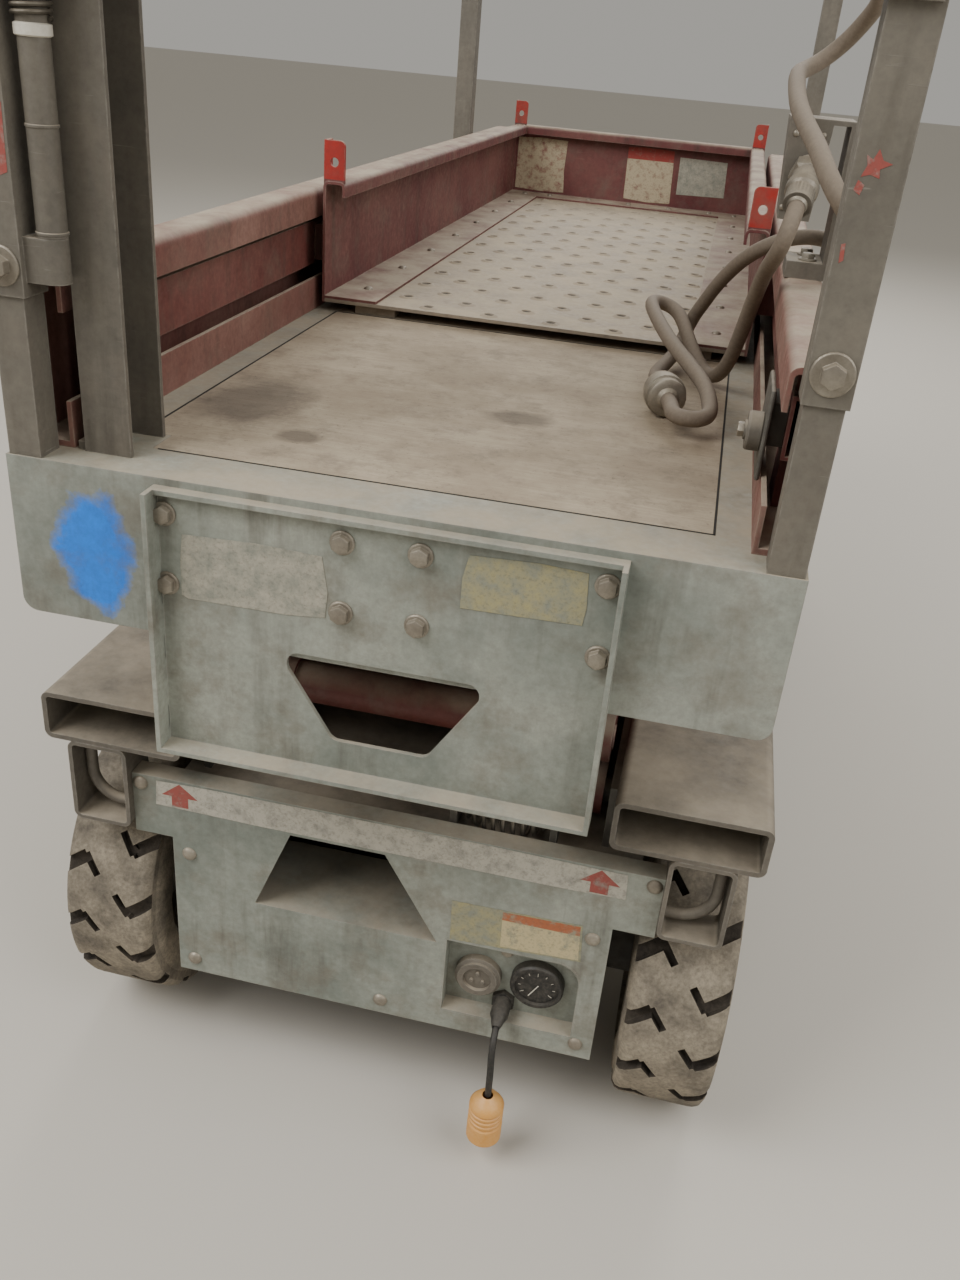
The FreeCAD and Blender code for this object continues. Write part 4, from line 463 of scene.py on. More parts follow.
class Shape:
    """A mesh in progress, in millimetres, shaped with bmesh operators."""

    def __init__(self) -> None:
        """Start with nothing."""
        self.bm = bmesh.new()

    def add(self, other: "Shape", at: Point = (0, 0, 0), slot: int | None = None) -> "Shape":
        """Join a copy of another shape, moved, with its faces in one material slot."""
        mesh = bpy.data.meshes.new("joining")
        other.bm.to_mesh(mesh)
        mesh.transform(Matrix.Translation(Vector(at)))
        if slot is not None:
            mesh.polygons.foreach_set("material_index", [slot] * len(mesh.polygons))
        self.bm.from_mesh(mesh)
        bpy.data.meshes.remove(mesh)
        return self

    def block(self, low: Point, high: Point, bevel: float = 0.0, segments: int = 2) -> "Shape":
        """A block between two corners with rounded edges."""
        part = bmesh.new()
        bmesh.ops.create_cube(part, size=1.0)
        low_corner, high_corner = Vector(low), Vector(high)
        bmesh.ops.scale(part, vec=high_corner - low_corner, verts=part.verts)
        bmesh.ops.translate(part, vec=(low_corner + high_corner) / 2, verts=part.verts)
        if bevel:
            bmesh.ops.bevel(part, geom=part.edges[:], offset=bevel, segments=segments, profile=0.5,
                            affect="EDGES", material=-1, clamp_overlap=True)
        return self.take(part)

    def lathe(self, section: Outline, steps: int = 32, closed: bool = False) -> "Shape":
        """Turn a section of (radius, height) points about Z.

        Args:
            section: The points, in order.
            steps: Faces round the axis.
            closed: Whether the last point joins the first.

        Returns:
            This shape.
        """
        part = bmesh.new()
        verts = [part.verts.new((radius, 0, height)) for radius, height in section]
        pairs = list(zip(verts, verts[1:])) + ([(verts[-1], verts[0])] if closed else [])
        edges = [part.edges.new(pair) for pair in pairs]
        bmesh.ops.spin(part, geom=verts + edges, cent=(0, 0, 0), axis=(0, 0, 1), angle=math.tau,
                       steps=steps, use_merge=True)
        bmesh.ops.remove_doubles(part, verts=part.verts, dist=0.001)
        bmesh.ops.recalc_face_normals(part, faces=part.faces)
        return self.take(part)

    def prism(self, sides: int, radius: float, low: float, high: float, bevel: float = 0.0) -> "Shape":
        """An upright bar with a regular outline, such as a hexagon."""
        part = bmesh.new()
        bmesh.ops.create_cone(part, cap_ends=True, segments=sides, radius1=radius, radius2=radius,
                              depth=high - low)
        bmesh.ops.translate(part, vec=(0, 0, (low + high) / 2), verts=part.verts)
        if bevel:
            round_top(part, high - 0.01, bevel)
        return self.take(part)

    def plate(self, outline: Outline, thick: float, bevel: float = 0.0) -> "Shape":
        """A flat plate in the XY plane, pushed up from nought."""
        part = bmesh.new()
        face = part.faces.new([part.verts.new((x, y, 0)) for x, y in outline])
        made = bmesh.ops.extrude_face_region(part, geom=[face])["geom"]
        raised = [v for v in made if isinstance(v, bmesh.types.BMVert)]
        bmesh.ops.translate(part, vec=(0, 0, thick), verts=raised)
        bmesh.ops.recalc_face_normals(part, faces=part.faces)
        if bevel:
            round_top(part, thick - 0.001, bevel)
        return self.take(part)

    def coil(self, radius: float, wire: float, pitch: float, turns: float, steps: int = 20) -> "Shape":
        """A round wire wound about Z from nought upwards."""
        part = bmesh.new()
        ring = bmesh.ops.create_circle(part, segments=8, radius=wire)["verts"]
        bmesh.ops.rotate(part, cent=(0, 0, 0), matrix=Matrix.Rotation(math.pi / 2, 3, "X"), verts=ring)
        bmesh.ops.translate(part, vec=(radius, 0, 0), verts=ring)
        count = round(steps * turns)
        bmesh.ops.spin(part, geom=ring + part.edges[:], cent=(0, 0, 0), axis=(0, 0, 1),
                       angle=math.tau * turns, steps=count, dvec=(0, 0, pitch * turns / count))
        bmesh.ops.holes_fill(part, edges=part.edges, sides=8)
        bmesh.ops.recalc_face_normals(part, faces=part.faces)
        return self.take(part)

    def take(self, part: bmesh.types.BMesh) -> "Shape":
        """Join a finished bmesh and free it."""
        mesh = bpy.data.meshes.new("joining")
        part.to_mesh(mesh)
        part.free()
        self.bm.from_mesh(mesh)
        bpy.data.meshes.remove(mesh)
        return self

    def turned(self, degrees: float, axis: str) -> "Shape":
        """Turn the whole about an axis through nought."""
        bmesh.ops.rotate(self.bm, cent=(0, 0, 0), matrix=Matrix.Rotation(math.radians(degrees), 3, axis),
                         verts=self.bm.verts)
        return self

    def aimed(self, direction: Point) -> "Shape":
        """Turn the whole so that its Z points along a direction."""
        turn = Vector((0, 0, 1)).rotation_difference(Vector(direction)).to_matrix()
        bmesh.ops.rotate(self.bm, cent=(0, 0, 0), matrix=turn, verts=self.bm.verts)
        return self

    def moved(self, x: float, y: float, z: float) -> "Shape":
        """Move the whole."""
        bmesh.ops.translate(self.bm, vec=(x, y, z), verts=self.bm.verts)
        return self

    def mirrored(self) -> "Shape":
        """Add the whole's mirror image across the middle plane."""
        other = Shape()
        other.add(self)
        bmesh.ops.scale(other.bm, vec=(-1, 1, 1), verts=other.bm.verts)
        bmesh.ops.reverse_faces(other.bm, faces=other.bm.faces)
        return self.add(other)

    def piece(self, name: str, body: str, slot: str, finishes: Sequence["Finish"],
              replaces: Sequence[str] = (), smooth_under: float = 35.0) -> bpy.types.Object:
        """Close the shape as a piece of the model.

        Args:
            name: The piece's name.
            body: The body that it rides on.
            slot: Not used.
            finishes: Finishes, in the order of the faces' material slots.
            replaces: CAD nodes that it stands for.
            smooth_under: Edges that turn by less, in degrees, are shaded smooth.

        Returns:
            The new object.
        """
        for face in self.bm.faces:
            face.smooth = True
        for edge in self.bm.edges:
            edge.smooth = edge.calc_face_angle(math.pi) < math.radians(smooth_under)
        bmesh.ops.scale(self.bm, vec=(MM, MM, MM), verts=self.bm.verts)
        bmesh.ops.translate(self.bm, vec=(0, SKIRT_Y, 0), verts=self.bm.verts)
        mesh = bpy.data.meshes.new(name)
        self.bm.to_mesh(mesh)
        self.bm.free()
        obj = bpy.data.objects.new(name, mesh)
        bpy.context.scene.collection.objects.link(obj)
        for finish in finishes:
            mesh.materials.append(finish.material())
        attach(obj, body)
        if replaces:
            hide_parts(*replaces)
        LOG.info("%s ready", name)
        return obj

    def hardware(self, name: str, body: str) -> bpy.types.Object:
        """Close the shape as plated steel fittings."""
        return self.piece(name, body, "bare_steel", [Finish.BOLT])

    def moulded(self, name: str, body: str, finish: "Finish | None" = None) -> bpy.types.Object:
        """Close the shape as a plastic part, black unless told otherwise."""
        return self.piece(name, body, "black_plastic", [finish or Finish.BLACK])


def flange_bolt(across: float = 16.0, washer: float = 24.0, rise: float = 9.0) -> Shape:
    """A hexagon head on its washer face, standing on Z nought."""
    head = Shape().prism(6, across / HEXAGON, 2.0, rise, 1.2)
    return head.lathe([(0, 0), (washer / 2, 0), (washer / 2, 1.4), (washer / 2 - 1.2, 2.4), (0, 2.6)], 24)


def dome_head(radius: float, rise: float) -> Shape:
    """A shallow round head standing on Z nought."""
    rows = [(radius * math.cos(a), rise * math.sin(a)) for a in (0, 0.35, 0.7, 1.05, 1.4)]
    return Shape().lathe(rows + [(0, rise)], 16)


def between(start: Point, end: Point, section: Outline, steps: int = 24) -> Shape:
    """A turned form whose heights are shares of the way from start to end."""
    way = Vector(end) - Vector(start)
    rows = [(radius, share * way.length) for radius, share in section]
    return Shape().lathe(rows, steps).aimed(tuple(way)).moved(*start)


FINISH_NODES: dict[Finish, tuple[str, ...]] = {
    Finish.CHASSIS_GREY: ("chassis_frame", "coil_lugs", "front_axle", "tray_hinges", "hydraulic_unit",
                          "knuckle_left", "knuckle_right", "tie_rod"),
    Finish.GREY_GREEN: ("chassis_rear_cover", "chassis_front_cover", "charger_panel", "battery_tray",
                        "hydraulic_tray", "step_plate"),
    Finish.BLACK: ("battery_gauge",),
    Finish.BATTERY: ("batteries",),
    Finish.ROD: ("lift_rod",),
    Finish.SKIRT: ("platform_frame",),
    Finish.PLYWOOD: ("deck_plywood",),
    Finish.RAIL_RED: ("side_channel_left", "side_channel_right"),
    Finish.POST_GREY: ("guard_rail_left", "guard_rail_right", "gate_frame"),
    Finish.DECK_STEEL: ("extension_deck",),
    Finish.TOE_RED: ("toe_boards",),
    Finish.MAROON: ("sliding_beam_left", "sliding_beam_right"),
}


def node_finish(node: str) -> Finish:
    """The finish of a CAD node that stays in view, dark grey for the plain steel parts."""
    if node.startswith("rim"):
        return Finish.RIM
    if "arms" in node:
        return Finish.STACK_RED
    return next((finish for finish, nodes in FINISH_NODES.items() if node in nodes), Finish.DARK_GREY)


def dress_nodes() -> None:
    """Give every CAD node its finish."""
    for name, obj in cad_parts.items():
        obj.data.materials.clear()
        obj.data.materials.append(node_finish(name).material())
    LOG.info("dressed %d nodes", len(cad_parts))


@dataclass
class Studio:
    """Camera, floor and soft lights."""

    camera_at: Point = (251.4, -898.5, 1211.1)
    yaw: float = 0.1723
    pitch: float = 0.4955
    roll: float = 0.0902
    focal_mm: float = 31.82
    floor_half: float = 30.0
    surround: float = 0.55
    lamps: tuple[tuple[str, Point, Point, float, float], ...] = (
        ("key", (-2600, -1800, 4200), (0, 700, 700), 3.0, 210),
        ("fill", (3000, -800, 3400), (0, 900, 600), 3.5, 110),
        ("back", (300, 5200, 4200), (0, 1200, 800), 4.0, 170))

    def build(self) -> None:
        """Place everything that isn't part of the machine."""
        self.camera()
        self.floor()
        self.lights()
        LOG.info("studio ready")

    def camera(self) -> None:
        """Camera at the photograph's place and angle."""
        forward = Vector((-math.sin(self.yaw) * math.cos(self.pitch),
                          math.cos(self.yaw) * math.cos(self.pitch), -math.sin(self.pitch)))
        right = Vector((math.cos(self.yaw), math.sin(self.yaw), 0))
        up = right.cross(forward)
        turned_right = right * math.cos(self.roll) + up * math.sin(self.roll)
        turned_up = up * math.cos(self.roll) - right * math.sin(self.roll)
        data = bpy.data.cameras.new("camera")
        data.lens = self.focal_mm
        data.sensor_width = 36.0
        data.clip_start = 0.02
        obj = bpy.data.objects.new("camera", data)
        bpy.context.scene.collection.objects.link(obj)
        turn = Matrix((turned_right, turned_up, -forward)).transposed().to_4x4()
        obj.matrix_world = Matrix.Translation(place(*self.camera_at)) @ turn
        bpy.context.scene.camera = obj

    def floor(self) -> None:
        """A plain pale floor."""
        bm = bmesh.new()
        bmesh.ops.create_grid(bm, x_segments=1, y_segments=1, size=self.floor_half)
        mesh = bpy.data.meshes.new("floor")
        bm.to_mesh(mesh)
        bm.free()
        obj = bpy.data.objects.new("floor", mesh)
        bpy.context.scene.collection.objects.link(obj)
        g = Graph("pale_floor")
        obj.data.materials.append(g.finish(linear("#c9c3b8"), 0.7, edge_mm=0))

    def lights(self) -> None:
        """Broad soft lights from above, and a pale surround."""
        world = bpy.data.worlds.new("surround")
        bpy.context.scene.world = world
        world.use_nodes = True
        inputs = world.node_tree.nodes["Background"].inputs
        inputs["Color"].default_value = linear("#dcd9d2")
        inputs["Strength"].default_value = self.surround
        for name, at, aim, size, watts in self.lamps:
            data = bpy.data.lights.new(name, "AREA")
            data.energy = watts
            data.size = size
            obj = bpy.data.objects.new(name, data)
            bpy.context.scene.collection.objects.link(obj)
            spot = place(*at)
            turn = (place(*aim) - spot).to_track_quat("-Z", "Y").to_matrix().to_4x4()
            obj.matrix_world = Matrix.Translation(spot) @ turn


def carve(body: Shape, tool: Shape) -> Shape:
    """Cut one shape out of another with a Boolean modifier, and free both."""
    objects = []
    for name, shape in (("carved", body), ("carving_tool", tool)):
        mesh = bpy.data.meshes.new(name)
        for finish in (Finish.TREAD, Finish.GROOVE):
            mesh.materials.append(finish.material())
        shape.bm.to_mesh(mesh)
        shape.bm.free()
        objects.append(bpy.data.objects.new(name, mesh))
        bpy.context.scene.collection.objects.link(objects[-1])
    modifier = objects[0].modifiers.new("cut", "BOOLEAN")
    modifier.operation = "DIFFERENCE"
    modifier.solver = "EXACT"
    modifier.object = objects[1]
    seen = objects[0].evaluated_get(bpy.context.evaluated_depsgraph_get())
    mesh = seen.to_mesh()
    cut = Shape()
    cut.bm.from_mesh(mesh)
    seen.to_mesh_clear()
    for obj in objects:
        data = obj.data
        bpy.data.objects.remove(obj)
        bpy.data.meshes.remove(data)
    return cut


def rear_facing(shape: Shape, x: float, y: float, z: float) -> Shape:
    """Stand a shape made on Z nought out of a face that looks backwards."""
    return shape.turned(90, "X").moved(x, y, z)


def film(outline: Outline, thick: float = 0.5) -> Shape:
    """A thin sheet with the outline's second number upwards, facing backwards."""
    return Shape().plate(outline, thick).turned(90, "X")


def label(name: str, body: str, slot: str, finish: Finish, y: float, outline: Outline,
          thick: float = 0.5) -> None:
    """Stick a blank film on a face that looks backwards at y."""
    film(outline, thick).moved(0, y, 0).piece(name, body, slot, [finish])


@dataclass
class Wheels:
    """Four solid tyres with angled lugs, and the rims' nuts and caps."""

    axle_z: float = 203.0
    axle_y: tuple[float, float] = (254.0, 1970.0)
    centre_x: float = 346.75
    radius: float = 203.0
    bore: float = 145.0
    half_width: float = 59.75
    taper: float = 6.0
    lugs: int = 16
    groove_depth: float = 12.0
    notch: tuple[float, float, float] = (46.0, 16.0, 35.0)
    slot: tuple[float, float] = (31.0, 9.0)
    nuts: int = 5
    nut_circle: float = 66.0
    disc_x: float = 38.0
    cap_seat: float = 9.0

    def build(self) -> None:
        """Carve one tyre and set copies of it on each axle."""
        tyre = self.tyre()
        fittings = self.fittings()
        for end, y in zip(("rear", "front"), self.axle_y):
            for word, side in (("left", -1), ("right", 1)):
                corner = f"{end}_{word}"
                shell = self.placed(tyre, side, y)
                shell.piece(f"tyre_shell_{corner}", f"wheel_{corner}", "tread_rubber",
                            # The second finish paints the grooves' faces nearly black: painted shade in the
                            # recesses.
                            [Finish.TREAD, Finish.GROOVE], [f"tyre_{corner}"])
                self.placed(fittings, side, y).hardware(f"wheel_fittings_{corner}", f"wheel_{corner}")

    def placed(self, shape: Shape, side: int, y: float) -> Shape:
        """A copy on its axle, its outer face to the machine's side."""
        copy = Shape().add(shape)
        if side < 0:
            copy.turned(180, "Z")
        return copy.moved(side * self.centre_x, y, self.axle_z)

    def tyre(self) -> Shape:
        """The band with rounded shoulders and two rows of angled grooves."""
        half, top = self.half_width, self.radius
        edge = half - self.taper
        side = [(self.bore, half), (top - 26, half - 1.5), (top - 22, half - 4.5), (top - 9, edge + 1.8),
                (top - 3, edge - 2.2), (top - 0.5, edge - 8), (top, edge - 14)]
        body = Shape().lathe(side + [(r, -h) for r, h in reversed(side)], 96, closed=True).turned(90, "Y")
        length, width, angle = self.notch
        turn = math.radians(angle)
        start = (half + 6, length / 2 * math.sin(turn))
        corner = (start[0] - length * math.cos(turn), start[1] - length * math.sin(turn))
        middle = ((start[0] + corner[0]) / 2, (start[1] + corner[1]) / 2)
        body = carve(body, self.grooves(length, width, angle, middle))
        reach, narrow = self.slot
        inner = (corner[0] - (reach / 2 - 3) * math.sin(turn), corner[1] + (reach / 2 - 3) * math.cos(turn))
        return carve(body, self.grooves(reach, narrow, angle - 90, inner))

    def grooves(self, length: float, width: float, degrees: float, middle: tuple[float, float]) -> Shape:
        """A ring of blocks on both shoulders, the second half a pitch round and point-symmetric."""
        ring = Shape()
        pitch = 360 / self.lugs
        for i in range(self.lugs):
            for turned_round, shift in ((0, 0), (180, 0.5)):
                block = Shape().block((-length / 2, -width / 2, self.radius - self.groove_depth),
                                      (length / 2, width / 2, self.radius + 9))
                block.turned(degrees, "Z").moved(*middle, 0).turned(turned_round, "Z")
                # Groove faces go in slot one, the nearly black finish that paints their shade.
                ring.add(block.turned((i + shift) * pitch, "X"), slot=1)
        return ring

    def fittings(self) -> Shape:
        """Nuts on studs round a grease cap on the disc."""
        whole = Shape()
        for i in range(self.nuts):
            nut = Shape().prism(6, 11, 0, 12, 1.5).prism(12, 5.5, 0, 17, 1)
            whole.add(nut.moved(self.nut_circle, 0, 0).turned(i * 360 / self.nuts, "Z"))
        cap = [(30, 0), (30, 9), (27, 15), (16, 19), (0, 20)]
        whole.add(Shape().lathe(cap, 32), (0, 0, self.cap_seat))
        return whole.turned(90, "Y").moved(self.disc_x, 0, 0)


@dataclass
class StepPlate:
    """Bolts and bleached labels on the flanged step plate."""

    face_y: float = -5.0
    bolt_x: tuple[float, ...] = (-209, -37, 36, 204)
    bolt_z: tuple[float, float] = (795, 724)
    weld_x: float = 217.5
    weld_z: tuple[float, ...] = (560, 640, 700)

    def build(self) -> None:
        """Make the plate's loose hardware and films."""
        bolts = Shape()
        for x in self.bolt_x:
            for z in self.bolt_z:
                bolts.add(rear_facing(flange_bolt(), x, self.face_y, z))
        bolts.hardware("step_plate_bolts", "platform")
        label("step_plate_pale_label", "platform", "grey_green_paint", Finish.WHITE_FILM, self.face_y,
              [(-195, 714), (-188, 711), (-90, 712), (-52, 716), (-50, 742), (-56, 778), (-120, 780),
               (-192, 777), (-195, 750)])
        label("step_plate_faded_label", "platform", "grey_green_paint", Finish.YELLOW_FILM, self.face_y,
              [(75, 750), (120, 751), (186, 753), (188, 770), (186, 804), (140, 806), (80, 803), (75, 780)])
        welds = Shape()
        for x in (-self.weld_x, self.weld_x):
            for z in self.weld_z:
                welds.block((x - 2.5, self.face_y - 4, z), (x + 2.5, self.face_y, z + 28), 1.5)
        welds.piece("step_plate_welds", "platform", "grey_green_paint", [Finish.GREY_GREEN])


@dataclass
class RearCover:
    """The rear cover's strip, plate, screws and the charger's fittings."""

    face_y: float = 70.0
    strip: tuple[float, float, float, float] = (-278, 268, 392, 430)
    recess_y: float = 95.0
    inlet: tuple[float, float] = (114, 222)
    gauge: tuple[float, float] = (185, 228)
    gland: tuple[float, float] = (147, 188)
    screw_places: Outline = ((-240, 165), (240, 165), (-240, 330), (240, 330), (-296, 420), (296, 420),
                             (0, 165))
    panel_bolt: tuple[float, float] = (145, 265)

    def build(self) -> None:
        """Make the films and fittings."""
        self.films()
        self.screws()
        self.charger()

    def films(self) -> None:
        """The bleached strip with an arrow at each end, and the blank plate beneath it."""
        body, slot = "chassis", "grey_green_paint"
        x0, x1, z0, z1 = self.strip
        label("cover_strip", body, slot, Finish.STRIP_FILM, self.face_y,
              [(x0, z0 + 2), (x0 + 120, z0), (x1 - 60, z0 + 1), (x1, z0 + 3), (x1 - 2, z1 - 2),
               (x1 - 150, z1), (x0 + 60, z1 - 1), (x0 + 2, z1 - 3)])
        arrow = [(-10, 4), (10, 4), (10, 18), (22, 18), (0, 36), (-22, 18), (-10, 18)]
        arrows = Shape()
        for x in (x0 + 30, x1 - 30):
            arrows.add(film([(x + across, z0 + up) for across, up in arrow], 0.2))
        arrows.moved(0, self.face_y - 0.5, 0).piece("cover_arrows", body, slot, [Finish.RED_PRINT])
        label("cover_plate", body, slot, Finish.YELLOW_FILM, self.face_y,
              [(79, 286), (231, 293), (227, 346), (78, 343)])
        label("cover_plate_headed", body, slot, Finish.HEADED_FILM, self.face_y - 0.5,
              [(138, 291), (228, 295), (225, 344), (137, 342)], 0.2)

    def screws(self) -> None:
        """Round heads along the cover's edges."""
        heads = Shape()
        for x, z in self.screw_places:
            heads.add(rear_facing(dome_head(9, 5), x, self.face_y, z))
        heads.add(self.on_panel(flange_bolt(13, 20, 7), self.panel_bolt))
        heads.hardware("cover_screws", "chassis")

    def on_panel(self, shape: Shape, at: tuple[float, float]) -> Shape:
        """Stand a shape out of the charger's recess."""
        return rear_facing(shape, at[0], self.recess_y, at[1])

    def charger(self) -> None:
        """Inlet, gauge with plain ticks, and the cord's gland."""
        rows = [(0, 10), (15, 10), (17, 13), (17, 16), (24, 16), (24, 13), (28, 11), (28, 0)]
        inlet = Shape().lathe(rows, 40)
        for i in range(3):
            inlet.add(Shape().prism(12, 2.4, 10, 15, 0.6).moved(8, 0, 0).turned(i * 120 + 90, "Z"))
        self.on_panel(inlet, self.inlet).moulded("charger_inlet_rim", "chassis", Finish.DARK_GREY)
        bezel = Shape().lathe([(25, 11.5), (26, 15.5), (30, 15.5), (32, 13), (32, 0)], 40)
        self.on_panel(bezel, self.gauge).moulded("gauge_bezel", "chassis")
        ticks = Shape()
        for i in range(9):
            long = 5 if i % 4 == 0 else 3
            tick = Shape().block((-0.35, 22 - long, 13), (0.35, 22, 13.2))
            ticks.add(tick.turned(120 - 30 * i, "Z"))
        ticks.add(Shape().block((-0.6, -4, 13.3), (0.6, 17, 13.8)).turned(150, "Z"))
        self.on_panel(ticks, self.gauge).moulded("gauge_ticks", "chassis", Finish.NYLON)
        gland = Shape().prism(6, 15, 0, 9, 1).lathe([(11, 9), (10.8, 30), (8.4, 36), (6, 46), (4.4, 50)], 32)
        self.on_panel(gland, self.gland).moulded("pigtail_gland", "chassis")


@dataclass
class Plywood:
    """Dark strips in the seams round the main deck's boards: painted shade in the gaps, with the dirt packed
    there.
    """

    half_width: float = 287.0
    rear_y: float = 70.0
    front_y: float = 715.0
    top: float = 827.0
    line: float = 1.2

    def build(self) -> None:
        """Lay the dark seam lines, painted shade and dirt."""
        half, low, high = self.half_width, self.top - 1, self.top + 0.4
        # These strips paint the shade in the seam gaps, together with their dirt.
        dirt = Shape()
        for x0, y0, x1, y1 in ((-250, self.rear_y - 1, half + 1, self.rear_y + self.line),
                               (half - self.line, self.rear_y, half + 1, self.front_y),
                               (-half - 1, 112, self.line - half, self.front_y),
                               (-half, self.front_y - 1, half, self.front_y + 1.5)):
            dirt.block((x0, y0, low), (x1, y1, high))
        dirt.piece("deck_seam_shade_and_dirt", "platform", "plywood", [Finish.SHADOW])


@dataclass
class Spring:
    """The slack extension spring under the platform's rear edge."""

    ends: tuple[float, float] = (70.0, 175.0)
    y: float = 116.0
    z: float = 460.0
    radius: float = 16.4
    wire: float = 2.5
    turns: float = 9.5
    sag: float = 30.0

    def build(self) -> None:
        """Wind the wire and let its middle hang."""
        length = self.ends[1] - self.ends[0]
        coil = Shape().coil(self.radius, self.wire, length / self.turns, self.turns)
        for vert in coil.bm.verts:
            share = vert.co.z / length
            vert.co.x += self.sag * 4 * share * (1 - share)
        coil.turned(90, "Y").moved(self.ends[0], self.y, self.z)
        coil.piece("spring_wire", "chassis", "spring_steel", [Finish.SPRING], ["coil"])


@dataclass
class ExtensionDeck:
    """Raised grip holes of the roll-out deck with discs of painted shade in them, and the kick boards' bolts
    and bare label patches.
    """

    first: tuple[float, float] = (-198.0, 733.0)
    pitch: tuple[float, float] = (45.3, 106.0)
    columns: int = 10
    last_y: float = 2120.0
    top: float = 845.0
    board_y: float = 2168.0
    bolt_rows: tuple[float, float] = (262.0, 2130.0)

    def build(self) -> None:
        """Make the deck's fittings."""
        rim = Shape().lathe([(6.5, 0.2), (7.5, 2.2), (9.5, 2.6), (14, 0)], 16)
        rims, holes = Shape(), Shape()
        # The dark discs are painted shade: the open holes show the dark under the deck.
        dark = Shape().prism(12, 7.0, 0.1, 0.6)
        for column in range(self.columns):
            x = self.first[0] + column * self.pitch[0]
            y = self.first[1] + (1 - column % 2) * self.pitch[1] / 2
            while y <= self.last_y:
                rims.add(rim, (x, y, self.top))
                holes.add(dark, (x, y, self.top))
                y += self.pitch[1]
        rims.piece("deck_grip_rims", "extension", "bare_steel", [Finish.DECK_STEEL])
        holes.piece("deck_grip_hole_shade", "extension", "bare_steel", [Finish.SHADOW])
        self.labels()
        self.bolts()

    def labels(self) -> None:
        """Bleached patches on the front board, left blank."""
        for name, finish, outline in (
                ("cream", Finish.CREAM_FILM, [(-298, 856), (-230, 853), (-172, 855), (-176, 910), (-173, 976),
                                              (-240, 978), (-298, 975)]),
                ("headed", Finish.RED_HEADED_FILM, [(-18, 858), (40, 854), (99, 856), (94, 978), (20, 980),
                                                    (-20, 977)]),
                ("pale", Finish.WHITE_FILM, [(112, 880), (230, 883), (226, 964), (110, 966)])):
            label(f"front_board_{name}_label", "extension", "maroon_paint", finish, self.board_y, outline)

    def bolts(self) -> None:
        """Round heads along the boards' feet."""
        side_x, front_y = self.bolt_rows
        places = [(side * side_x, y) for y in range(790, 2150, 190) for side in (-1, 1)]
        heads = Shape()
        for x, y in places + [(x, front_y) for x in range(-200, 201, 100)]:
            heads.add(dome_head(7, 4), (x, y, self.top + 4))
        heads.hardware("kick_board_bolts", "extension")


@dataclass
class Railings:
    """Post bolts, spray marks, end caps and the gate's hinge parts."""

    post_x: float = 349.0
    rear_y: float = -1.0
    bolt_z: float = 999.0
    hinge: tuple[float, float] = (-309.0, 18.0)
    gate_top: float = 1917.0
    bush_z: float = 1176.0
    spring_z: float = 1189.0
    weld_z: tuple[float, ...] = (1026.0, 1110.0, 1300.0, 1500.0, 1700.0)
    latch_at: Point = (307.0, 2.0, 1270.0)

    def build(self) -> None:
        """Make the railings' small parts."""
        bolts = Shape()
        for side in (-1, 1):
            bolts.add(rear_facing(flange_bolt(18, 35, 11), side * self.post_x, self.rear_y, self.bolt_z))
        bolts.hardware("post_bolts", "platform")
        marks = Shape()
        for outline in ([(337, 1139), (343, 1141), (350, 1139), (349, 1145), (357, 1149), (350, 1151),
                         (346, 1158), (343, 1151), (338, 1154), (340, 1147)],
                        [(334, 1130), (339, 1127), (341, 1134), (336, 1137)],
                        [(335, 1080), (338, 1082), (337, 1094), (334, 1093)],
                        [(-340, 1072), (-333, 1075), (-332, 1128), (-338, 1120)]):
            marks.add(film(outline, 0.2))
        marks.moved(0, self.rear_y, 0)
        marks.piece("post_spray_marks", "platform", "maroon_paint", [Finish.RED_PRINT])
        self.gate()
        self.end_caps()

    def gate(self) -> None:
        """Bushes, return spring and weld beads on the gate's hinge tube, and its latch."""
        x, y = self.hinge
        bush = Shape().lathe([(13.1, 0), (15, 1), (15, 9), (13.1, 10)], 32)
        bushes = Shape().add(bush, (x, y, self.bush_z)).add(bush, (x, y, self.gate_top - 34))
        bushes.moulded("gate_bushes", "gate", Finish.NYLON)
        spring = Shape().coil(15.0, 1.9, 5.2, 13, 16).moved(x, y, self.spring_z)
        spring.piece("gate_return_spring", "gate", "spring_steel", [Finish.SPRING])
        seams = Shape()
        bead = Shape().lathe([(13.05, 0), (13.9, 0.6), (13.9, 2.4), (13.05, 3)], 32)
        for z in self.weld_z:
            seams.add(bead, (x, y, z))
        seams.piece("gate_tube_welds", "gate", "maroon_paint", [Finish.POST_GREY])
        x, y, z = self.latch_at
        latch = Shape().block((x - 11, y, z - 15), (x + 11, y + 4, z + 15), 1.2)
        latch.add(rear_facing(dome_head(6, 5), x, y, z))
        latch.hardware("gate_latch", "gate")

    def end_caps(self) -> None:
        """Plastic caps on the posts' open ends."""
        caps = Shape()
        for x, y, z in ((331, 0, 1930), (369, 1901, 1930), (369, 1901, 787)):
            caps.block((x, y, z), (x + 36, y + 36, z + 3), 1.2)
        caps.mirrored().moulded("post_caps", "platform")


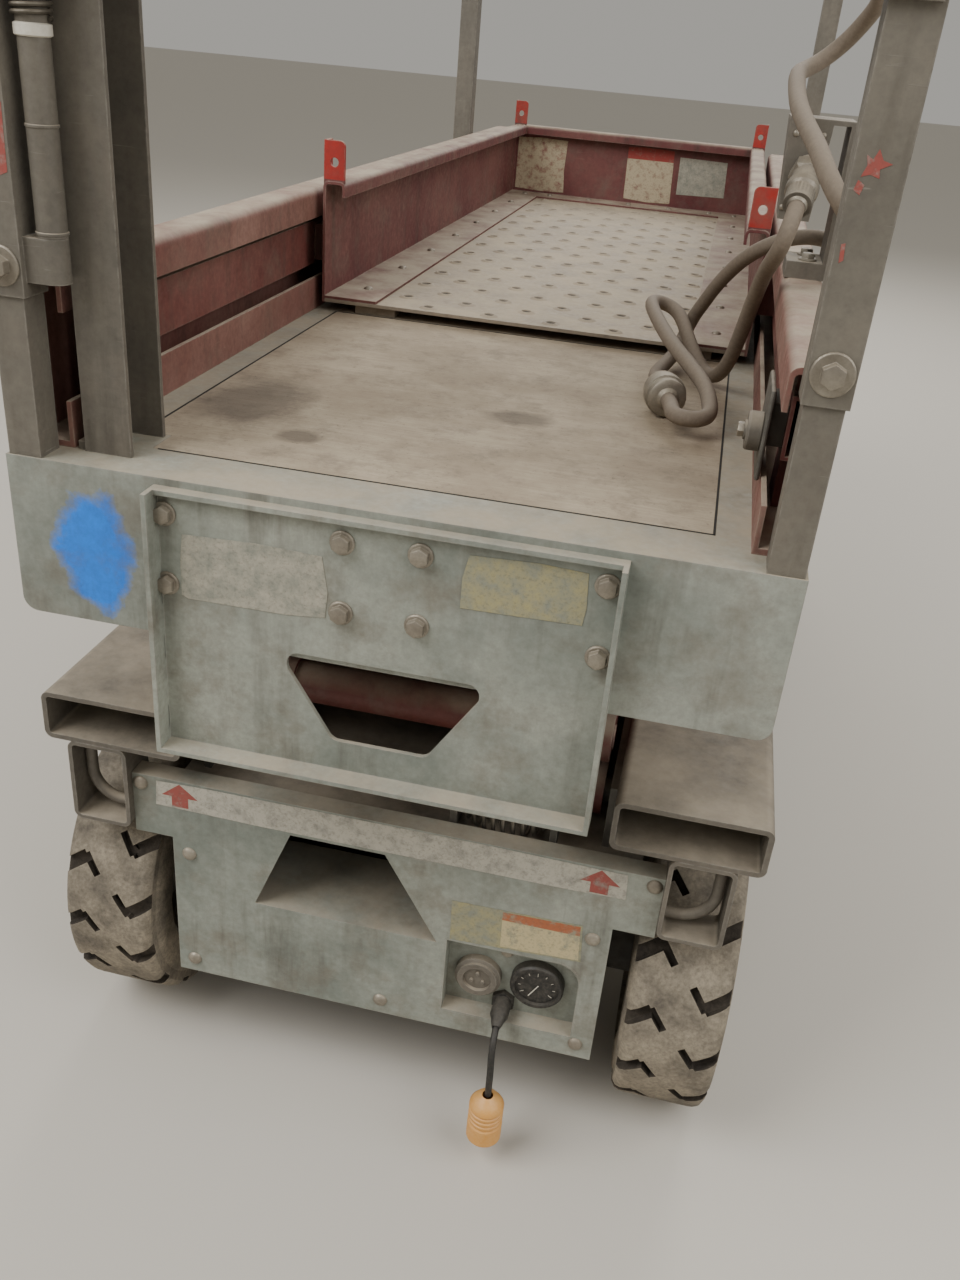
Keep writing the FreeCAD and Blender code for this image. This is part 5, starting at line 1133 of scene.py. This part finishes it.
@dataclass
class Beams:
    """Roller plates at the rear ends of the sliding beams and bolts along the channels."""

    plate_x: tuple[float, float] = (313.5, 318.5)
    plate_y: tuple[float, float] = (112.0, 190.0)
    plate_z: tuple[float, float] = (868.0, 952.0)
    roller_y: float = 134.0
    roller_z: float = 908.0
    web_z: tuple[float, float] = (895.0, 935.0)
    web_x: float = 334.0
    channel_face: tuple[float, float] = (368.0, 965.0)

    def build(self) -> None:
        """Make both sides' fittings."""
        x0, x1 = self.plate_x
        y0, y1 = self.plate_y
        z0, z1 = self.plate_z
        plates = Shape().block((x0, y0, z0), (x1, y1, z1), 2.5)
        plates.block((x1, y0 + 24, self.web_z[0]), (self.web_x, y1, self.web_z[1]), 1.0)
        plates.mirrored().piece("beam_end_plates", "extension", "maroon_paint", [Finish.CHASSIS_GREY])
        wheel = Shape().lathe([(0, 0), (17, 0), (18, 1), (18, 12), (16.5, 14), (9, 14), (9, 16), (0, 16)], 32)
        rollers = Shape().add(wheel.turned(-90, "Y"), (x0, self.roller_y, self.roller_z)).mirrored()
        rollers.piece("beam_end_rollers", "extension", "bare_steel", [Finish.DARK_GREY])
        bolt = Shape().prism(6, 7, 16, 22, 1).turned(-90, "Y")
        bolts = Shape().add(bolt, (x0, self.roller_y, self.roller_z)).mirrored()
        bolts.hardware("beam_end_bolts", "extension")
        heads = Shape()
        for y in range(160, 2150, 330):
            heads.add(dome_head(8, 4).turned(90, "Y"), (self.channel_face[0], y, self.channel_face[1]))
        heads.mirrored().hardware("channel_bolts", "platform")


@dataclass
class Controls:
    """The control box's stop button, boot and switches, the bracket's fitting, connector and plug."""

    box_x: tuple[float, float] = (252.0, 326.0)
    box_y: tuple[float, float] = (60.0, 260.0)
    box_z: tuple[float, float] = (1680.0, 1850.0)
    gasket_z: tuple[float, float] = (1812.0, 1816.0)
    gasket_proud: float = 0.8
    lever_in: float = 60.0
    stop_in: float = 50.0
    switch_z: tuple[float, float] = (1768.0, 1740.0)
    fitting: tuple[Point, Point] = ((326, 456, 1106), (318, 392, 1074))
    coupling: tuple[Point, Point] = ((218, 404, 851.4), (208, 446, 851.4))
    plug_at: tuple[float, float] = (150.0, 20.0)

    def build(self) -> None:
        """Make the small controls and cord ends."""
        self.box()
        self.bracket()
        self.connector()
        self.plug()

    def box(self) -> None:
        """Buttons and screws on the operator's box."""
        x = sum(self.box_x) / 2
        y0, y1 = self.box_y
        top = self.box_z[1]
        boot = [(30, 0), (31, 3)]
        for i in range(4):
            boot += [(28 - 3.6 * i, 5 + 7 * i), (30 - 3.8 * i, 8.5 + 7 * i)]
        Shape().lathe(boot + [(12.2, 36), (12.2, 40)], 32).moved(x, y0 + self.lever_in, top).moulded(
            "lever_boot", "platform")
        knob = Shape().lathe([(12, 40), (14, 44), (15, 52), (12, 58), (0, 60)], 28)
        knob.moved(x, y0 + self.lever_in, top).moulded("lever_knob", "platform")
        rows = [(18.2, 0), (18.2, 10), (19, 13), (25, 15), (26, 19), (24, 25), (14, 28), (0, 29)]
        stop = Shape().lathe(rows, 36)
        stop.moved(x, y1 - self.stop_in, top).moulded("stop_button", "platform", Finish.STOP_RED)
        collar = Shape().lathe([(32, 0), (32, 2), (19, 2.6), (18.4, 0)], 36)
        collar.moved(x, y1 - self.stop_in, top).piece("stop_collar", "platform", "plug_yellow", [Finish.PLUG])
        screws = Shape()
        for sx in (self.box_x[0] + 9, self.box_x[1] - 9):
            for sz in (self.box_z[0] + 10, top - 10):
                screws.add(rear_facing(dome_head(4, 2.4), sx, y0, sz))
        screws.hardware("control_box_screws", "platform")
        x0, x1 = self.box_x
        proud, (low, high) = self.gasket_proud, self.gasket_z
        gasket = Shape().block((x0 - proud, y0 - proud, low), (x1 + proud, y1 + proud, high), 0.6)
        gasket.moulded("control_box_gasket", "platform")
        guard = Shape().block((x - 24, y0 - 3, 1720), (x + 24, y0, 1790), 1.5)
        for z, radius, rise in zip(self.switch_z, (9, 7), (6, 10)):
            guard.add(rear_facing(Shape().prism(24, radius, 0, rise, 1), x, y0 - 3, z))
        guard.moulded("control_switch_plate", "platform")

    def bracket(self) -> None:
        """Nuts on the conduit fitting, the bracket's bolts and the box's cover screws."""
        nuts = between(*self.fitting, [(15.2, 0.05), (19, 0.08), (19, 0.26), (15.2, 0.3)], 6)
        nuts.add(between(*self.fitting, [(15.1, 0.5), (17.5, 0.54), (17.5, 0.66), (15.1, 0.7), (15.1, 0.93),
                                         (11, 1.0), (9.4, 1.06)]))
        nuts.hardware("bracket_fitting_nuts", "platform")
        bolts = Shape()
        for y in (472, 508):
            bolts.add(flange_bolt(13, 20, 8), (345, y, 1010))
        bolts.add(flange_bolt(13, 20, 8).turned(90, "Y"), (366, 490, 1128))
        for x in (306, 334):
            for z in (1064, 1138):
                bolts.add(rear_facing(dome_head(3.5, 2), x, 455, z))
        bolts.hardware("bracket_bolts", "platform")

    def connector(self) -> None:
        """The round connector's coupling rings."""
        rows = [(9.2, -0.12), (13, -0.02), (20, 0.0), (22, 0.04), (22, 0.3), (24.2, 0.32), (24.2, 0.62),
                (22, 0.64), (22, 0.95), (20, 1.0), (13, 1.02), (9.2, 1.12)]
        shell = between(*self.coupling, rows)
        self.connector_piece = shell.piece("connector_shell", "platform", "bare_steel", [Finish.BOLT],
                                           ["cable_connector"])

    def plug(self) -> None:
        """The charger cord's plug with its ribs."""
        rows = [(0, 35), (17, 35), (21, 38.5), (21, 62)]
        for i in range(4):
            z = 64 + 7 * i
            rows += [(19.4, z), (19.4, z + 2), (20.8, z + 3), (20.8, z + 6)]
        rows += [(16, 98), (10, 102), (6.5, 105)]
        shell = Shape().lathe(rows, 36).moved(*self.plug_at, 0)
        self.plug_piece = shell.piece("plug_shell", "chassis", "plug_yellow", [Finish.PLUG], ["pigtail_plug"])


@dataclass
class Linkage:
    """Heads of the scissor stack's centre pins."""

    pivot_y: float = 180.0
    pivot_z: float = 455.0
    length: float = 1880.0
    pitch: float = 72.0
    pin_x: float = 226.0

    def build(self) -> None:
        """Make each level's centre pin heads on its outer arms."""
        run = math.sqrt(self.length ** 2 - self.pitch ** 2)
        for level in range(1, 5):
            z = self.pivot_z + (level - 0.5) * self.pitch
            head = Shape().lathe([(19, 0), (19, 3), (14, 4), (14, 7), (12, 8), (0, 8)], 28).turned(90, "Y")
            heads = Shape().add(head, (self.pin_x, self.pivot_y + run / 2, z)).mirrored()
            heads.hardware(f"centre_pin_heads_{level}", f"outer_arms_{level}")


@dataclass
class Trays:
    """Caps and links on the batteries, bands and filler on the pump, and the doors' latches."""

    cap_x: float = -225.0
    post_x: float = -325.0
    battery_y: tuple[float, ...] = (656.5, 930.5, 1204.5, 1478.5)
    battery_top: float = 388.3
    post_top: float = 396.3
    post_reach: float = 101.0
    cap_step: float = 66.0
    link: tuple[float, float] = (9.0, 3.0)
    filler_at: Point = (265.0, 640.0, 378.3)
    motor: tuple[float, float, float] = (265.0, 248.3, 60.0)
    band_y: tuple[float, float] = (1042.0, 1286.0)
    door_x: tuple[float, float] = (400.0, 404.0)
    latch_y: tuple[float, float] = (620.0, 1510.0)
    latch_z: tuple[float, float] = (395.0, 435.0)
    latch_half: float = 30.0

    def build(self) -> None:
        """Make both trays' fittings."""
        caps, links = Shape(), Shape()
        cap = Shape().lathe([(15, 0), (15, 5), (13, 8), (5, 8), (4, 10), (0, 10)], 20)
        nut = Shape().prism(6, 8, 0, 6, 1)
        half, thick = self.link
        for y in self.battery_y:
            for step in (-self.cap_step, 0, self.cap_step):
                caps.add(cap, (self.cap_x, y + step, self.battery_top))
            for step in (-self.post_reach, self.post_reach):
                links.add(nut, (self.post_x, y + step, self.post_top + thick))
        for y, after in zip(self.battery_y, self.battery_y[1:]):
            links.block((self.post_x - half, y + self.post_reach - half, self.post_top),
                        (self.post_x + half, after - self.post_reach + half, self.post_top + thick), 1)
        caps.piece("battery_caps", "battery_tray", "battery_case", [Finish.PLUG])
        links.hardware("battery_links", "battery_tray")
        filler = Shape().lathe([(30, 0), (30, 4), (26, 5), (26, 22), (23, 25), (0, 25)], 32)
        filler.moved(*self.filler_at).moulded("tank_filler", "hydraulic_tray")
        x, z, radius = self.motor
        band = Shape().lathe([(radius - 0.5, 0), (radius + 2, 0.8), (radius + 2, 15), (radius - 0.5, 16)], 40)
        bands = Shape()
        band.turned(90, "X")
        for y in self.band_y:
            bands.add(band, (x, y, z))
        bands.hardware("motor_bands", "hydraulic_tray")
        for body, side in (("battery_tray", -1), ("hydraulic_tray", 1)):
            latches = Shape()
            x0, x1 = sorted(side * x for x in self.door_x)
            for y in self.latch_y:
                latches.block((x0, y - self.latch_half, self.latch_z[0]),
                              (x1, y + self.latch_half, self.latch_z[1]), 1.5)
            latches.moulded(f"{body}_latches", body)


@dataclass
class Cables:
    """The three cords that lie free, on their CAD routes."""

    cable_radius: float = 9.0
    pigtail_radius: float = 4.0
    bracket_route: tuple[Point, ...] = (
        (318, 392, 1074), (315, 368, 1062), (309, 361, 1036), (304, 384, 1018), (300, 420, 1001),
        (295, 466, 962), (290, 501, 921), (283, 537, 874), (272, 567, 843), (256, 583, 841),
        (243, 600, 852), (226, 634, 872), (213, 670, 889), (201, 686, 897), (184, 687, 903),
        (172, 674, 906), (171, 646, 907), (180, 604, 903), (195, 556, 896), (213, 508, 888),
        (236, 460, 880), (258, 412, 870), (266, 378, 861), (268, 352, 854), (257, 339, 851),
        (240, 337, 851), (227, 348, 851), (224.5, 376.7, 851.4), (218, 404, 851.4))
    control_route: tuple[Point, ...] = (
        (296, 150, 1655), (296, 150, 1590), (299, 157, 1520), (305, 174, 1450), (313, 206, 1390),
        (326, 262, 1346), (342, 340, 1310), (356, 420, 1284), (366, 486, 1268), (360, 528, 1252),
        (344, 552, 1228), (322, 556, 1207), (304, 535, 1197), (297, 498, 1194), (296, 440, 1184),
        (299, 380, 1168), (309, 322, 1152), (320, 270, 1138), (328, 232, 1124), (338, 207, 1109),
        (352, 202, 1093), (366, 220, 1079), (376, 260, 1068), (389, 340, 1050), (395, 420, 1036),
        (391, 490, 1027), (377, 536, 1024), (351, 556, 1025), (322, 557, 1019), (300, 568, 1006),
        (283, 592, 990), (267, 622, 968), (251, 648, 941), (238, 672, 912), (227, 690, 888),
        (219, 684, 863), (213, 656, 848), (205, 610, 844), (197, 560, 844), (195, 520, 847),
        (199, 483.8, 851.4), (208, 446, 851.4))
    pigtail_route: tuple[Point, ...] = ((147, 66, 188), (147, 42, 188), (148, 24, 168), (150, 20, 138),
                                        (150, 20, 105))

    def build(self, connector: bpy.types.Object, plug: bpy.types.Object) -> None:
        lines = (("bracket_cable_line", self.bracket_route, self.cable_radius, "platform", Finish.CABLE,
                  "cable_jacket", "bracket_cable", "connector", "loose", connector),
                 ("control_cable_line", self.control_route, self.cable_radius, "platform", Finish.CABLE,
                  "cable_jacket", "control_cable", "connector", "loose", connector),
                 ("pigtail_line", self.pigtail_route, self.pigtail_radius, "chassis", Finish.CORD,
                  "cord_jacket", "pigtail_cord", "plug", "hanging", plug))
        for name, route, radius, body, finish, slot, node, far_end, lay, end_piece in lines:
            line = self.tube(name, route, radius, body, finish, node)
            self.length(line)
        LOG.info("cables ready")

    def tube(self, name: str, route: Sequence[Point], radius: float, body: str, finish: Finish,
             node: str) -> bpy.types.Object:
        """A round cord on a smooth line through its route.

        Args:
            name: The piece's name.
            route: Control points in millimetres.
            radius: The cord's radius in millimetres.
            body: The body that it rides on.
            finish: Its finish.
            node: The CAD node that it replaces.

        Returns:
            The curve object.
        """
        data = bpy.data.curves.new(name, "CURVE")
        data.dimensions = "3D"
        data.bevel_depth = radius * MM
        data.bevel_resolution = 5
        data.use_fill_caps = True
        data.resolution_u = 10
        spline = data.splines.new("NURBS")
        spline.points.add(len(route) - 1)
        for point, corner in zip(spline.points, route):
            point.co = (*place(*corner), 1.0)
        spline.order_u = 3
        spline.use_endpoint_u = True
        obj = bpy.data.objects.new(name, data)
        bpy.context.scene.collection.objects.link(obj)
        data.materials.append(finish.material())
        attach(obj, body)
        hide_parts(node)
        return obj

    @staticmethod
    def length(obj: bpy.types.Object) -> float:
        """Length of a cord's line in metres, to the nearest centimetre."""
        return round(obj.data.splines[0].calc_length(), 2)


def main() -> None:
    """Build the scene in order."""
    logging.basicConfig(level=logging.INFO, format="%(message)s")
    Studio().build()
    controls = Controls()
    controls.build()
    Cables().build(controls.connector_piece, controls.plug_piece)
    dress_nodes()
    for assembly in (Wheels(), StepPlate(), RearCover(), Plywood(), Spring(), ExtensionDeck(), Railings(),
                     Beams(), Linkage(), Trays()):
        assembly.build()


if __name__ == "__main__":
    main()
